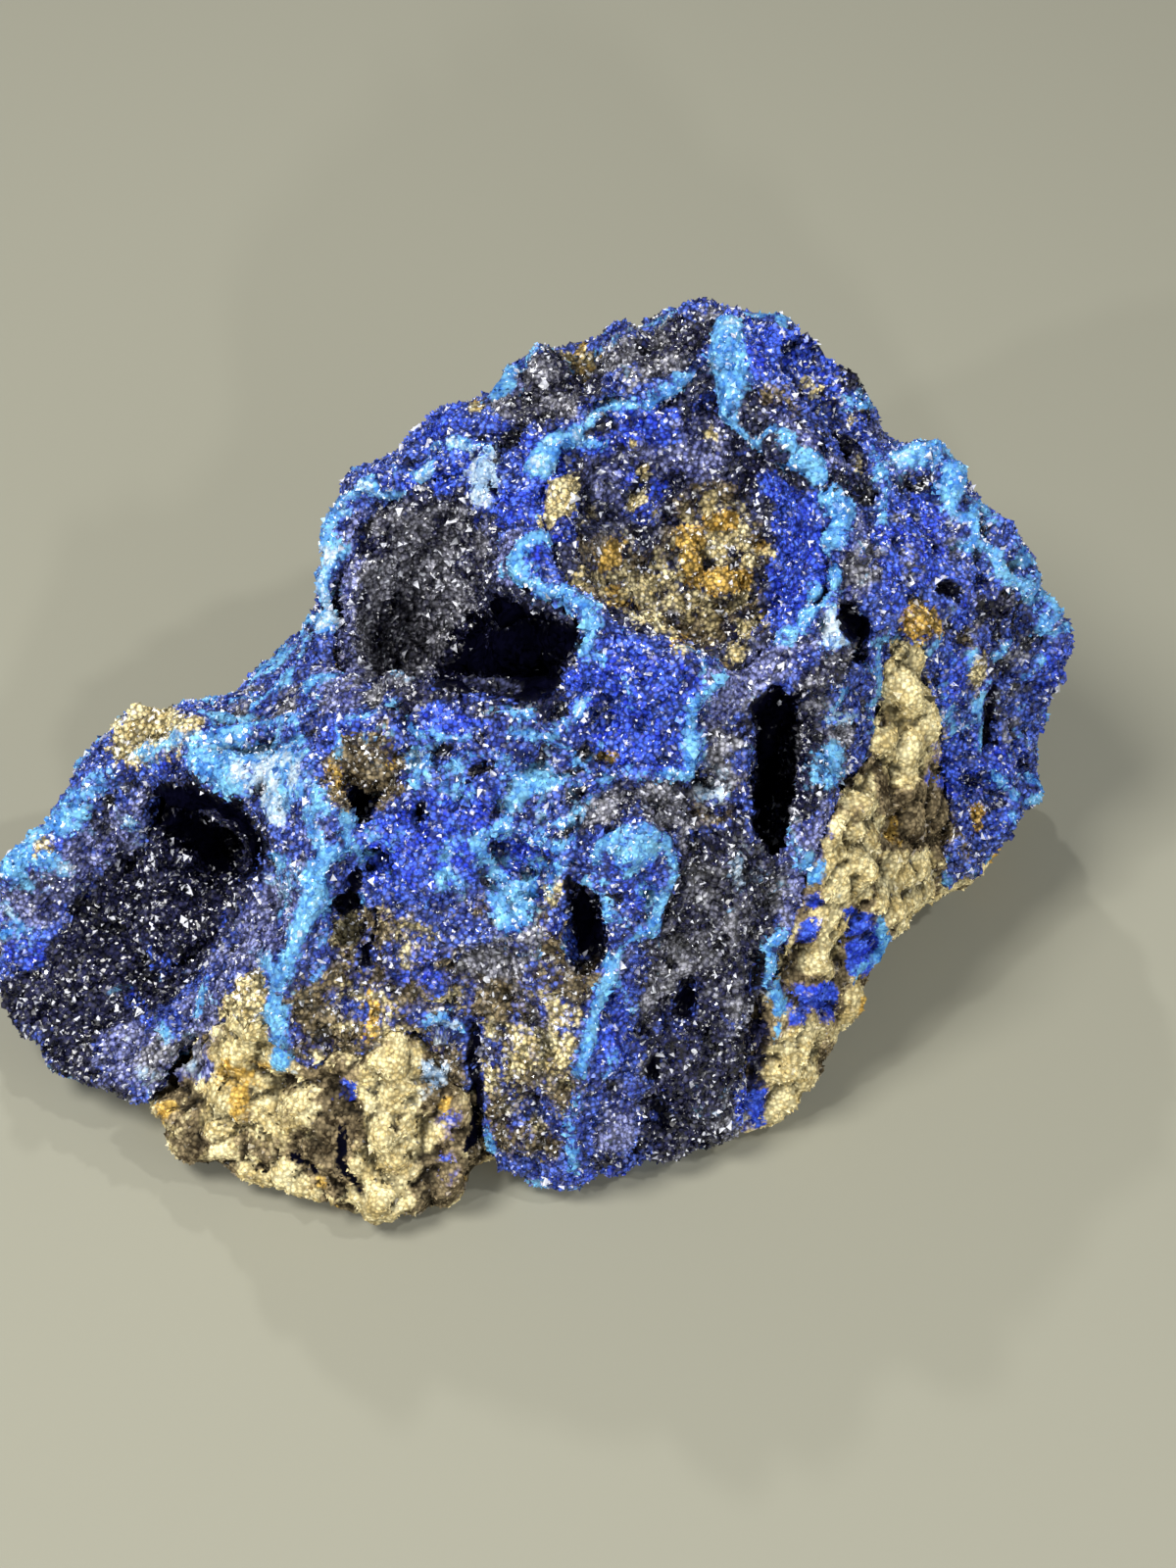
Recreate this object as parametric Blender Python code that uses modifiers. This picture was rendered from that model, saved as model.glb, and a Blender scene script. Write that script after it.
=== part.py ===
"""An azurite specimen: a cavernous mass of blue azurite on cream limonite rock, with druses in its hollows.

The stone lies on its sawn underside. X runs to the right, Y to the back and Z up. The origin is at
the middle of the underside. All sizes below are in millimetres and are turned to metres by MM.
"""

import math

import bmesh
import bpy
import numpy as np
from mathutils import Matrix, Vector, noise
from mathutils.bvhtree import BVHTree

MM = 0.001

# Plan outline of the stone, anticlockwise as seen from above, from the tip of the left lobe.
OUTLINE = [
    (-29.5, -4.5), (-26.5, -9.5), (-22.5, -12.0), (-18.5, -13.5), (-16.5, -15.0), (-12.0, -17.2),
    (-8.0, -19.8), (-3.8, -18.0), (-2.0, -15.6), (2.5, -16.2), (5.5, -15.4), (9.4, -14.4),
    (13.5, -12.4), (16.0, -9.0), (18.0, -5.5), (20.5, -1.5), (24.5, 2.5), (28.0, 7.5), (26.5, 12.0),
    (23.0, 15.0), (19.0, 17.0), (14.0, 20.5), (8.5, 21.5), (3.0, 21.0), (-4.0, 17.5), (-9.0, 14.5),
    (-13.0, 10.5), (-15.5, 8.5), (-19.5, 7.5), (-23.5, 5.0), (-27.0, 1.5), (-29.5, -1.0),
]

# Outline of the stone seen from the front and above, as (across, up) about SLANT_CENTRE.
SLANT_OUTLINE = [
    (-26.0, -14.0), (-24.0, -15.0), (-21.5, -16.0), (-20.5, -17.0), (-19.0, -18.5), (-17.0, -19.5),
    (-15.0, -20.0), (-12.5, -21.5), (-10.5, -22.5), (-8.5, -21.5), (-6.0, -20.5), (-5.5, -18.0),
    (-4.5, -18.5), (-2.5, -19.5), (0.0, -19.5), (3.5, -18.5), (6.5, -18.0), (9.5, -16.5), (11.0, -15.0),
    (12.0, -13.0), (13.0, -10.5), (13.5, -9.0), (14.5, -7.0), (16.5, -5.5), (18.5, -4.5), (20.5, -1.5),
    (21.5, 0.5), (22.5, 4.0), (23.5, 6.5), (22.0, 9.0), (21.0, 11.5), (19.0, 13.5), (17.5, 15.5),
    (16.0, 16.5), (15.0, 17.0), (13.5, 18.5), (12.0, 20.0), (11.0, 21.0), (10.5, 22.5), (10.0, 23.0),
    (8.0, 23.0), (6.0, 23.0), (4.5, 23.0), (2.5, 22.0), (1.0, 21.5), (0.0, 20.5), (-2.5, 21.0),
    (-4.0, 20.0), (-5.5, 18.5), (-7.0, 18.0), (-8.0, 17.0), (-9.5, 16.0), (-11.0, 15.0), (-12.0, 13.5),
    (-12.5, 11.5), (-13.0, 9.5), (-13.0, 7.5), (-14.5, 7.0), (-16.0, 5.0), (-18.0, 3.5), (-19.5, 3.5),
    (-21.5, 3.0), (-22.5, 2.5), (-24.0, 0.5), (-25.5, -2.5), (-28.5, -4.5), (-29.0, -6.0),
    (-29.0, -9.5), (-28.5, -11.5),
]
SLANT_CENTRE = (2.5, 0.0, 13.0)
SLANT_ANGLE = 48.0  # degrees above the horizontal
SLANT_DISTANCE = 140.0  # the outline widens like a cone seen from this far
SLANT_REACH = 60.0  # the cone is used this far before and behind its centre

# Heights of the upper surface before the hollows are cut, as (x, y, z), region by region.
SPOT_HEIGHTS = {
    "tip and outer rim of the left lobe": [
        (-26.5, -2.2, 9.5), (-23.5, -0.4, 11.0), (-20.5, 2.5, 13.5), (-16.5, 5.0, 14.0),
    ],
    "mouth of the left trough": [
        (-18.5, 0.5, 14.5), (-15.5, -1.8, 15.5), (-12.5, -4.5, 16.5), (-24.5, -4.8, 4.5),
        (-21.0, -1.8, 6.0), (-21.5, -3.5, 5.0), (-17.5, -4.5, 6.0), (-23.5, -7.0, 3.5),
        (-28.0, -4.5, 5.0), (-26.5, -9.0, 3.0), (-22.5, -11.5, 3.0), (-19.0, -12.5, 3.0),
        (-29.0, -2.0, 8.0), (-14.9, -8.2, 8.0), (-17.8, -8.5, 6.0),
    ],
    "septum beside the trough": [
        (-9.5, -7.0, 17.0), (-10.5, -9.0, 14.0), (-11.5, -10.5, 11.0), (-12.0, -11.5, 8.0),
        (-14.5, -4.5, 10.0),
    ],
    "plateau between the hollows": [
        (-14.0, 1.0, 16.0), (-10.0, -1.0, 18.0), (-6.0, -2.0, 21.0), (-3.0, -3.0, 21.0),
        (0.5, -3.5, 21.0), (-6.5, -4.5, 19.0), (-2.0, -6.0, 19.5),
    ],
    "front slope": [
        (-5.0, -6.5, 17.0), (-0.5, -7.0, 17.5), (-8.0, -8.0, 15.0), (-4.5, -9.0, 14.0),
        (0.0, -9.0, 14.5), (-9.0, -10.0, 12.0), (-4.5, -10.5, 11.0), (0.5, -11.0, 11.5),
        (-6.5, -12.5, 9.0), (-5.0, -14.0, 5.5), (-8.0, -15.5, 4.5), (-11.5, -14.0, 5.5),
        (-14.5, -11.0, 8.0), (-13.5, -10.5, 10.0), (-16.5, -12.0, 4.0), (-11.5, -15.5, 2.5),
        (-8.0, -18.0, 2.0), (-4.5, -16.8, 2.5),
    ],
    "front block": [
        (-0.2, -12.5, 9.0), (-0.3, -13.5, 6.0), (-2.0, -14.0, 3.5), (2.0, -13.5, 7.5), (1.5, -15.0, 3.0),
    ],
    "dark slope": [
        (3.5, -9.5, 17.0), (4.5, -9.0, 19.0), (4.5, -10.5, 13.0), (6.0, -10.5, 11.0), (7.0, -12.5, 6.0),
        (4.5, -13.0, 6.5), (5.5, -14.2, 2.0), (9.0, -13.2, 2.5), (10.0, -10.5, 7.5), (9.5, -9.0, 12.5),
        (7.0, -8.5, 15.5), (7.0, -7.0, 18.0), (10.5, -7.0, 16.0),
    ],
    "right vein": [
        (13.0, -7.0, 14.0), (15.0, -5.5, 15.5), (12.0, -9.0, 9.0), (14.8, -7.5, 6.0), (12.5, -10.5, 3.5),
        (16.5, -4.0, 12.5), (18.5, -0.5, 13.5), (16.5, 1.5, 18.5), (18.0, 3.0, 21.0),
    ],
    "right lobe": [
        (21.5, 7.0, 19.5), (24.5, 8.0, 17.0), (25.2, 7.0, 12.5), (22.5, 4.5, 15.0), (19.5, 1.5, 15.5),
        (24.0, 6.0, 8.0), (21.0, 2.5, 9.0), (19.5, 11.5, 23.0), (16.5, 7.5, 24.0), (21.5, 9.0, 21.5),
    ],
    "blue face under the bowl": [
        (2.5, -0.5, 24.0), (7.0, -3.0, 23.0), (2.5, -4.5, 19.0), (7.5, -4.5, 18.5),
    ],
    "rim of the bowl": [
        (0.0, 2.5, 24.5), (9.5, -1.0, 21.5), (14.0, 1.0, 22.5), (14.5, 6.5, 24.5), (11.5, 9.0, 27.0),
        (9.5, 14.5, 28.0), (4.5, 12.0, 27.0), (0.0, 10.5, 25.0),
    ],
    "back crest": [
        (-3.0, 14.5, 25.0), (0.0, 17.0, 26.0), (5.0, 17.5, 27.0), (8.5, 18.0, 28.0), (12.5, 17.5, 28.0),
        (14.5, 15.0, 26.0), (17.5, 13.5, 24.0), (-9.0, 12.0, 22.0), (-5.5, 13.0, 24.0),
        (-10.0, 9.5, 20.0), (-10.5, 6.0, 18.0), (-14.0, 5.5, 15.0),
    ],
}

# Ridges that stand on the relief: name, crest line as (x, y) points, height, half width.
RIDGES = [
    ("septum beside the trough", [(-9.5, -6.5), (-10.3, -8.5), (-11.3, -10.2), (-12.0, -11.8)], 1.6, 0.9),
    ("crest over the vug", [(-10.0, -0.5), (-6.0, -1.6), (-3.0, -2.6), (0.5, -3.2)], 1.3, 0.8),
    ("left rim of the bowl", [(-0.5, 1.5), (-0.8, 5.0), (-0.5, 8.0), (0.0, 10.7)], 0.9, 0.8),
    ("far rim of the bowl", [(0.0, 10.7), (2.2, 11.6), (4.6, 12.6), (9.0, 14.8)], 1.4, 0.8),
    ("right rim of the bowl", [(9.0, 17.0), (9.3, 14.6), (11.2, 11.0), (13.0, 9.2), (14.7, 6.4)], 1.6, 0.8),
    ("edge of the blue face", [(2.5, -0.2), (4.8, -1.6), (7.2, -3.0)], 0.8, 0.7),
    ("outer ridge of the pocket", [(13.5, 16.5), (16.2, 13.6), (18.0, 12.4), (20.0, 11.8)], 1.2, 0.9),
    ("ridge on the right lobe", [(20.5, 11.2), (22.5, 9.2), (24.6, 7.2)], 0.9, 0.8),
    ("light ridge of the front block", [(2.6, -10.6), (2.4, -12.2), (2.1, -13.8)], 1.1, 0.6),
    ("tongue over the tall slit", [(3.6, -8.4), (4.7, -9.0), (5.2, -9.6)], 1.0, 0.9),
]

# Hollows, each a group of blobs: centre, radii and turn about Z in degrees.
HOLLOWS = {
    "trough": [
        ((-13.0, 2.0, 8.6), (3.4, 3.4, 4.2), 0),
        ((-15.4, -1.4, 9.0), (3.7, 3.8, 4.4), 0),
        ((-19.8, -4.6, 9.4), (4.6, 4.6, 5.6), 0),
        ((-24.8, -9.6, 9.8), (5.4, 5.4, 6.6), 0),
    ],
    "vug": [
        ((-5.6, 5.6, 20.5), (4.6, 6.0, 10.5), -8),
        ((0.2, -0.2, 18.0), (2.8, 2.6, 9.0), 0),
        ((-3.0, 1.4, 18.5), (5.0, 3.8, 8.0), 0),
    ],
    "bowl": [
        ((7.4, 5.6, 25.0), (6.9, 6.9, 8.6), 0),
        ((5.2, 8.4, 25.0), (5.4, 4.0, 5.5), 20),
        ((8.4, 9.6, 27.0), (2.8, 4.2, 5.0), 0),
    ],
    "slit": [((11.3, -3.2, 16.0), (1.6, 3.8, 7.0), -8)],
    "notch": [((14.6, 2.0, 20.5), (1.2, 1.3, 3.4), 0)],
    "pocket": [((13.9, 12.4, 26.2), (1.7, 3.6, 4.2), 32)],
    "brown_pit": [((-8.2, -4.9, 16.6), (1.9, 1.5, 2.6), 0)],
    "pin_hole": [((-5.2, -5.9, 16.6), (0.7, 0.7, 2.4), 0)],
    "blue_pit": [((-7.2, -7.0, 15.6), (1.2, 1.0, 1.0), 0)],
    "oval_pit": [((-0.8, -8.0, 16.4), (2.1, 1.4, 1.7), 0)],
    "left_slit": [((-8.6, -8.9, 13.8), (0.8, 1.6, 1.6), 0)],
    "tall_slit": [((2.4, -9.4, 13.9), (1.0, 2.6, 2.6), 0)],
    "front_crack": [((-2.8, -14.4, 5.0), (0.6, 2.6, 4.4), 0)],
    "dark_hole": [((6.9, -11.3, 9.4), (0.9, 1.6, 1.0), 0)],
    "low_hole": [((5.6, -12.9, 6.8), (0.6, 1.4, 1.2), 0)],
}

# Druses: name, the hollow it lines, number of crystals, their scale, seed.
DRUSES = [
    ("druse_trough", "trough", 20, 0.7, 3),
    ("druse_vug", "vug", 22, 1.0, 5),
    ("druse_bowl", "bowl", 20, 0.9, 8),
]
DRUSE_THICKNESS = 0.6
DRUSE_RIM = 1.1  # a druse stops this far below the skin of the stone
DRUSE_CLEARANCE = 0.9  # and this far from another hollow
CRYSTAL_SIDES = 5
CRYSTAL_RADIUS, CRYSTAL_TIP, CRYSTAL_LENGTH = 0.6, 0.2, 1.7
CRYSTAL_LEAST, CRYSTAL_MOST = 0.7, 1.25  # range of a crystal's scale
CRYSTAL_SINK = 0.4
CRYSTAL_LEAN = 0.22

# Clearances between pieces that touch.
GAP = 0.35
LEAST_GAP = 0.2  # kept by the foot of a leaning crystal

# Grids, voxels and triangle counts.
PLAN_MARGIN = 2.0  # the relief runs this far past the plan outline
CELL = 0.8  # grid cell of the relief
ROUNDING = 0.6  # how softly the relief turns at a spot height
FLOOR_DROP = 1.5  # the mass is made this much too deep, then sawn flat
SAW_SIZE = 100.0
STONE_VOXEL, STONE_SMOOTHING, STONE_FACES = 0.62, 2, 2350
SKIN_FACES = 700
ROCK_CELL, ROCK_VOXEL, ROCK_SMOOTHING, ROCK_FACES = 1.0, 0.8, 3, 1300
CUTTER_VOXEL, CUTTER_SMOOTHING = 0.25, 2
CUTTER_FACES, CUTTER_FEWEST = 0.38, 100  # triangles per square millimetre, and at least so many
WELD = 0.0005  # points nearer than this are one

# Roughness of the surfaces: size and height of broad lumps and of small knobs.
LUMP_SIZE, LUMP_HEIGHT = 5.0, 0.55
KNOB_SIZE, KNOB_HEIGHT, KNOB_SPREAD, KNOB_MEAN = 2.1, 0.55, 1.3, 0.3
CUTTER_LUMP, CUTTER_KNOB = 0.3, 0.5
ROUGH_FROM = 3.0  # a hollow with a smaller radius than this is roughened less
ROCK_LUMP_SIZE, ROCK_LUMP_HEIGHT = 3.0, 0.8
UNDERCUT, UNDERCUT_TOP = 2.2, 5.0  # how far the foot of the sides draws in, and below what height
ROCK_LOW = -1.4  # lowest the top of the rock goes: under the sawn face

# Heights of the rock's upper surface, as (x, y, z): above the skin of the stone where rock shows.
ROCK_HEIGHTS = {
    "front left mass": [
        (-16.5, -12.5, 6.5), (-11.5, -14.8, 8.0), (-8.0, -16.5, 8.0), (-4.8, -15.0, 8.5),
        (-6.3, -12.5, 11.0), (-14.2, -11.0, 11.0), (-11.0, -12.3, 6.5), (-8.3, -11.8, 7.0),
        (-14.0, -7.5, 2.0), (-10.0, -8.5, 2.0), (-5.5, -9.5, 3.0),
    ],
    "foot of the front block and dark slope": [
        (-2.0, -13.5, 1.0), (-1.0, -15.5, -1.5), (3.0, -15.5, -1.5), (7.0, -14.0, -1.5),
        (3.0, -11.0, 1.0), (8.5, -10.0, 1.5),
    ],
    "right foot": [
        (12.5, -10.5, 4.0), (17.5, -4.0, 5.0), (21.0, 0.5, 5.0), (24.5, 4.5, 5.0), (26.0, 9.0, 3.5),
    ],
    "back foot": [
        (22.0, 13.0, 3.0), (16.0, 17.0, 4.0), (8.0, 20.0, 5.0), (0.0, 18.5, 4.0), (-8.0, 13.5, 5.0),
        (-14.0, 8.0, 4.0), (-20.0, 6.0, 3.5),
    ],
    "left foot": [
        (-25.0, 1.0, 1.0), (-28.0, -3.0, -1.5), (-25.0, -8.5, -1.5), (-20.5, -11.0, -1.5),
        (-22.0, -4.0, 0.5), (-17.0, 0.0, 1.5),
    ],
    "middle": [(0.0, 0.0, 3.0), (10.0, 0.0, 3.0), (12.0, 10.0, 4.0), (0.0, 9.0, 3.0), (-10.0, 3.0, 3.0)],
}

# The rock's vein, in the form of RIDGES.
ROCK_VEIN = ("vein in the right lobe", [(12.8, -10.0), (14.8, -6.5), (16.6, -2.0), (17.8, 2.6)], 20.0, 2.0)


def clear_scene():
    for obj in list(bpy.data.objects):
        bpy.data.objects.remove(obj)


def new_collection(name):
    collection = bpy.data.collections.new(name)
    bpy.context.scene.collection.children.link(collection)
    return collection


def new_material(name, colour, roughness):
    material = bpy.data.materials.new(name)
    material.use_nodes = True
    shader = material.node_tree.nodes["Principled BSDF"]
    shader.inputs["Base Color"].default_value = (*colour, 1.0)
    shader.inputs["Roughness"].default_value = roughness
    return material


def add_object(name, bm, collection):
    mesh = bpy.data.meshes.new(name)
    bm.to_mesh(mesh)
    bm.free()
    obj = bpy.data.objects.new(name, mesh)
    collection.objects.link(obj)
    return obj


def apply_modifiers(obj):
    """Replaces the object's mesh by its evaluated one and drops its modifiers."""
    graph = bpy.context.evaluated_depsgraph_get()
    mesh = bpy.data.meshes.new_from_object(obj.evaluated_get(graph))
    obj.modifiers.clear()
    obj.data = mesh


def boolean(obj, other, operation):
    modifier = obj.modifiers.new(operation.title(), "BOOLEAN")
    modifier.operation = operation
    modifier.object = other
    apply_modifiers(obj)


def remesh(obj, voxel, smooth_passes=0):
    modifier = obj.modifiers.new("Remesh", "REMESH")
    modifier.mode = "VOXEL"
    modifier.voxel_size = voxel * MM
    if smooth_passes:
        smooth = obj.modifiers.new("Smooth", "SMOOTH")
        smooth.iterations = smooth_passes
    apply_modifiers(obj)


def decimate(obj, faces):
    """Collapses the mesh to about this many triangles."""
    now = sum(len(polygon.vertices) - 2 for polygon in obj.data.polygons)
    modifier = obj.modifiers.new("Decimate", "DECIMATE")
    modifier.ratio = min(1.0, faces / now)
    apply_modifiers(obj)


def points_of(obj):
    points = np.empty(len(obj.data.vertices) * 3)
    obj.data.vertices.foreach_get("co", points)
    return points.reshape(-1, 3) / MM


def normals_of(obj):
    normals = np.empty(len(obj.data.vertices) * 3)
    obj.data.vertices.foreach_get("normal", normals)
    return normals.reshape(-1, 3)


def set_points(obj, points):
    obj.data.vertices.foreach_set("co", (points * MM).ravel())
    obj.data.update()


def keep_largest(obj):
    """Drops every loose island but the one with most faces."""
    bm = bmesh.new()
    bm.from_mesh(obj.data)
    bmesh.ops.remove_doubles(bm, verts=bm.verts, dist=WELD * MM)
    unseen, islands = set(bm.faces), []
    while unseen:
        stack, island = [unseen.pop()], []
        while stack:
            face = stack.pop()
            island.append(face)
            for edge in face.edges:
                for other in edge.link_faces:
                    if other in unseen:
                        unseen.remove(other)
                        stack.append(other)
        islands.append(island)
    islands.sort(key=len)
    for island in islands[:-1]:
        bmesh.ops.delete(bm, geom=island, context="FACES")
    loose = [vert for vert in bm.verts if not vert.link_faces]
    bmesh.ops.delete(bm, geom=loose, context="VERTS")
    bm.to_mesh(obj.data)
    bm.free()


class Relief:
    """Heights that pass through the spot heights, found with a linear radial basis."""

    def __init__(self, spots):
        self.at = np.array([spot[:2] for spot in spots], float)
        heights = np.array([spot[2] for spot in spots], float)
        size = len(spots)
        matrix = np.ones((size + 1, size + 1))
        matrix[:size, :size] = self.basis(self.at)
        matrix[size, size] = 0.0
        self.weights = np.linalg.solve(matrix, np.append(heights, 0.0))

    def basis(self, points):
        apart = points[:, None, :] - self.at[None, :, :]
        return np.sqrt((apart**2).sum(2) + ROUNDING**2)

    def __call__(self, points):
        return self.basis(points) @ self.weights[:-1] + self.weights[-1]


def distance_to_line(points, line):
    """Distance in plan from each point to a polyline."""
    nearest = np.full(len(points), np.inf)
    for start, end in zip(line[:-1], line[1:]):
        start, step = np.array(start), np.subtract(end, start)
        share = np.clip((points - start) @ step / (step @ step), 0, 1)
        away = np.linalg.norm(points - start - share[:, None] * step, axis=1)
        nearest = np.minimum(nearest, away)
    return nearest


def relief_height(points, regions, ridges):
    spots = [spot for region in regions.values() for spot in region]
    height = Relief(spots)(points)
    for _, line, rise, half_width in ridges:
        height += rise * np.exp(-((distance_to_line(points, line) / half_width) ** 2))
    return height


def stone_height(points):
    """Height of the upper surface at plan points, ridges included, hollows not yet cut."""
    return np.maximum(relief_height(points, SPOT_HEIGHTS, RIDGES), 1.0)


def rock_height(points):
    return np.maximum(relief_height(points, ROCK_HEIGHTS, [ROCK_VEIN]), ROCK_LOW)


def height_block(name, height_of, cell, collection):
    """A block over the whole plan whose top follows height_of, with a flat underside."""
    low, high = np.min(OUTLINE, 0) - PLAN_MARGIN, np.max(OUTLINE, 0) + PLAN_MARGIN
    counts = np.ceil((high - low) / cell).astype(int)
    bm = bmesh.new()
    bmesh.ops.create_grid(bm, x_segments=counts[0], y_segments=counts[1], size=0.5)
    span, middle = high - low, (high + low) / 2
    plan = np.array([vert.co[:2] for vert in bm.verts]) * span + middle
    for vert, (x, y), z in zip(bm.verts, plan, height_of(plan)):
        vert.co = (x * MM, y * MM, z * MM)
    rim = [edge for edge in bm.edges if edge.is_boundary]
    skirt = bmesh.ops.extrude_edge_only(bm, edges=rim)["geom"]
    foot = [item for item in skirt if isinstance(item, bmesh.types.BMVert)]
    for vert in foot:
        vert.co.z = -FLOOR_DROP * MM
    bmesh.ops.holes_fill(bm, edges=[edge for edge in bm.edges if edge.is_boundary])
    bmesh.ops.recalc_face_normals(bm, faces=bm.faces)
    return add_object(name, bm, collection)


def plan_prism(collection):
    """The plan outline as a filled curve, extruded well past the stone above and below."""
    curve = bpy.data.curves.new("plan", "CURVE")
    curve.dimensions = "2D"
    curve.fill_mode = "BOTH"
    curve.extrude = SAW_SIZE * MM
    spline = curve.splines.new("POLY")
    spline.points.add(len(OUTLINE) - 1)
    for point, (x, y) in zip(spline.points, OUTLINE):
        point.co = (x * MM, y * MM, 0, 1)
    spline.use_cyclic_u = True
    outline = bpy.data.objects.new("outline", curve)
    collection.objects.link(outline)
    graph = bpy.context.evaluated_depsgraph_get()
    mesh = bpy.data.meshes.new_from_object(outline.evaluated_get(graph))
    bpy.data.objects.remove(outline)
    bm = bmesh.new()
    bm.from_mesh(mesh)
    bmesh.ops.remove_doubles(bm, verts=bm.verts, dist=WELD * MM)
    bmesh.ops.recalc_face_normals(bm, faces=bm.faces)
    return add_object("plan_prism", bm, collection)


def slant_cone(collection):
    """The slanted outline as a solid that widens away from the point it is seen from."""
    angle = math.radians(SLANT_ANGLE)
    towards = np.array([0, -math.cos(angle), math.sin(angle)])
    upwards = np.array([0, math.sin(angle), math.cos(angle)])
    middle = np.array(SLANT_CENTRE)
    eye = middle + SLANT_DISTANCE * towards
    bm = bmesh.new()
    rings = []
    for reach in (-SLANT_REACH, SLANT_REACH):
        scale = (SLANT_DISTANCE + reach) / SLANT_DISTANCE
        ring = []
        for across, up in SLANT_OUTLINE:
            point = middle + np.array([across, 0, 0]) + up * upwards
            ring.append(bm.verts.new((eye + (point - eye) * scale) * MM))
        rings.append(ring)
        bm.faces.new(ring)
    for i in range(len(SLANT_OUTLINE)):
        bm.faces.new([rings[0][i - 1], rings[0][i], rings[1][i], rings[1][i - 1]])
    bmesh.ops.recalc_face_normals(bm, faces=bm.faces)
    bmesh.ops.triangulate(bm, faces=bm.faces)
    return add_object("slant_cone", bm, collection)


def knobs(points, size):
    """A field of round knobs, 1 at a knob's middle and 0 between knobs."""
    value = np.empty(len(points))
    for i, point in enumerate(points):
        near = noise.voronoi(Vector(point / size))[0]
        value[i] = max(0.0, 1.0 - KNOB_SPREAD * near[0])
    return value


def swells(points, size):
    return np.array([noise.fractal(Vector(point / size), 1.0, 2.0, 3) for point in points])


def roughen(obj, lump, knob):
    """Moves the surface along its normals by broad lumps and small knobs."""
    points, normals = points_of(obj), normals_of(obj)
    rise = lump * swells(points, LUMP_SIZE) + knob * (knobs(points, KNOB_SIZE) - KNOB_MEAN)
    set_points(obj, points + normals * rise[:, None])


def blob(bm, centre, radii, turn):
    made = bmesh.ops.create_icosphere(bm, subdivisions=3, radius=1.0)["verts"]
    place = Matrix.Translation(Vector(centre) * MM) @ Matrix.Rotation(math.radians(turn), 4, "Z")
    scale = Matrix.Diagonal((*[radius * MM for radius in radii], 1.0))
    bmesh.ops.transform(bm, matrix=place @ scale, verts=made)


def hollow_cutter(name, blobs, collection):
    bm = bmesh.new()
    for centre, radii, turn in blobs:
        blob(bm, centre, radii, turn)
    cutter = add_object(name, bm, collection)
    smallest = min(min(radii) for _, radii, _ in blobs)
    remesh(cutter, max(CUTTER_VOXEL, smallest / 8), CUTTER_SMOOTHING)
    share = min(1.0, smallest / ROUGH_FROM)
    roughen(cutter, CUTTER_LUMP * share, CUTTER_KNOB * share)
    area = sum(polygon.area for polygon in cutter.data.polygons) / MM**2
    decimate(cutter, max(CUTTER_FEWEST, area * CUTTER_FACES))
    return cutter


def stone_body(collection):
    """The whole stone, rock and azurite together, with no hollow cut."""
    body = height_block("stone", stone_height, CELL, collection)
    boolean(body, plan_prism(collection), "INTERSECT")
    boolean(body, slant_cone(collection), "INTERSECT")
    remesh(body, STONE_VOXEL, STONE_SMOOTHING)
    points = points_of(body)
    foot = np.clip(1 - (points[:, 2] + FLOOR_DROP) / (UNDERCUT_TOP + FLOOR_DROP), 0, 1)
    inward = points[:, :2] - np.mean(OUTLINE, 0)
    inward /= np.maximum(np.linalg.norm(inward, axis=1), 1e-6)[:, None]
    points[:, :2] -= inward * (UNDERCUT * foot**2)[:, None]
    set_points(body, points)
    roughen(body, LUMP_HEIGHT, KNOB_HEIGHT)
    decimate(body, STONE_FACES)
    return body


def cut_flat(obj, collection):
    """Saws off everything below the plane the stone rests on."""
    bm = bmesh.new()
    bmesh.ops.create_cube(bm, size=SAW_SIZE * MM)
    bmesh.ops.translate(bm, verts=bm.verts, vec=(0, 0, -SAW_SIZE / 2 * MM))
    saw = add_object("saw", bm, collection)
    boolean(obj, saw, "DIFFERENCE")


def rock_zone(collection):
    """The space the rock takes up, roughly shaped and larger than the stone at its sides."""
    zone = height_block("rock_zone", rock_height, ROCK_CELL, collection)
    remesh(zone, ROCK_VOXEL, ROCK_SMOOTHING)
    points, normals = points_of(zone), normals_of(zone)
    rise = ROCK_LUMP_HEIGHT * swells(points, ROCK_LUMP_SIZE)
    set_points(zone, points + normals * rise[:, None])
    decimate(zone, ROCK_FACES)
    return zone


def tree_of(obj):
    bm = bmesh.new()
    bm.from_mesh(obj.data)
    tree = BVHTree.FromBMesh(bm)
    bm.free()
    return tree


def offset_copy(obj, distance, collection):
    """A copy of a solid grown by a distance, or shrunk where it is negative."""
    made = bpy.data.objects.new(obj.name + "_offset", obj.data.copy())
    collection.objects.link(made)
    set_points(made, points_of(obj) + distance * normals_of(obj))
    return made


def druse_shell(name, cutter, skin, others, collection):
    """A crust that lines a hollow, short of the skin of the stone and of the other hollows."""
    shell = offset_copy(cutter, -GAP, collection)
    shell.name = name
    boolean(shell, offset_copy(cutter, -GAP - DRUSE_THICKNESS, collection), "DIFFERENCE")
    boolean(shell, skin, "INTERSECT")
    for other in others:
        boolean(shell, other, "DIFFERENCE")
    keep_largest(shell)
    return shell


def crystal(foot, axis, size, spin, collection):
    """A short five-sided crystal that tapers to a blunt tip."""
    length = CRYSTAL_LENGTH * size * MM
    turn = axis.to_track_quat("Z", "Y").to_matrix().to_4x4()
    bm = bmesh.new()
    bmesh.ops.create_cone(
        bm, cap_ends=True, segments=CRYSTAL_SIDES, radius1=CRYSTAL_RADIUS * size * MM,
        radius2=CRYSTAL_TIP * size * MM, depth=length,
        matrix=Matrix.Translation(foot + axis * length / 2) @ turn @ Matrix.Rotation(spin, 4, "Z"),
    )
    return add_object("crystal", bm, collection)


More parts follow.
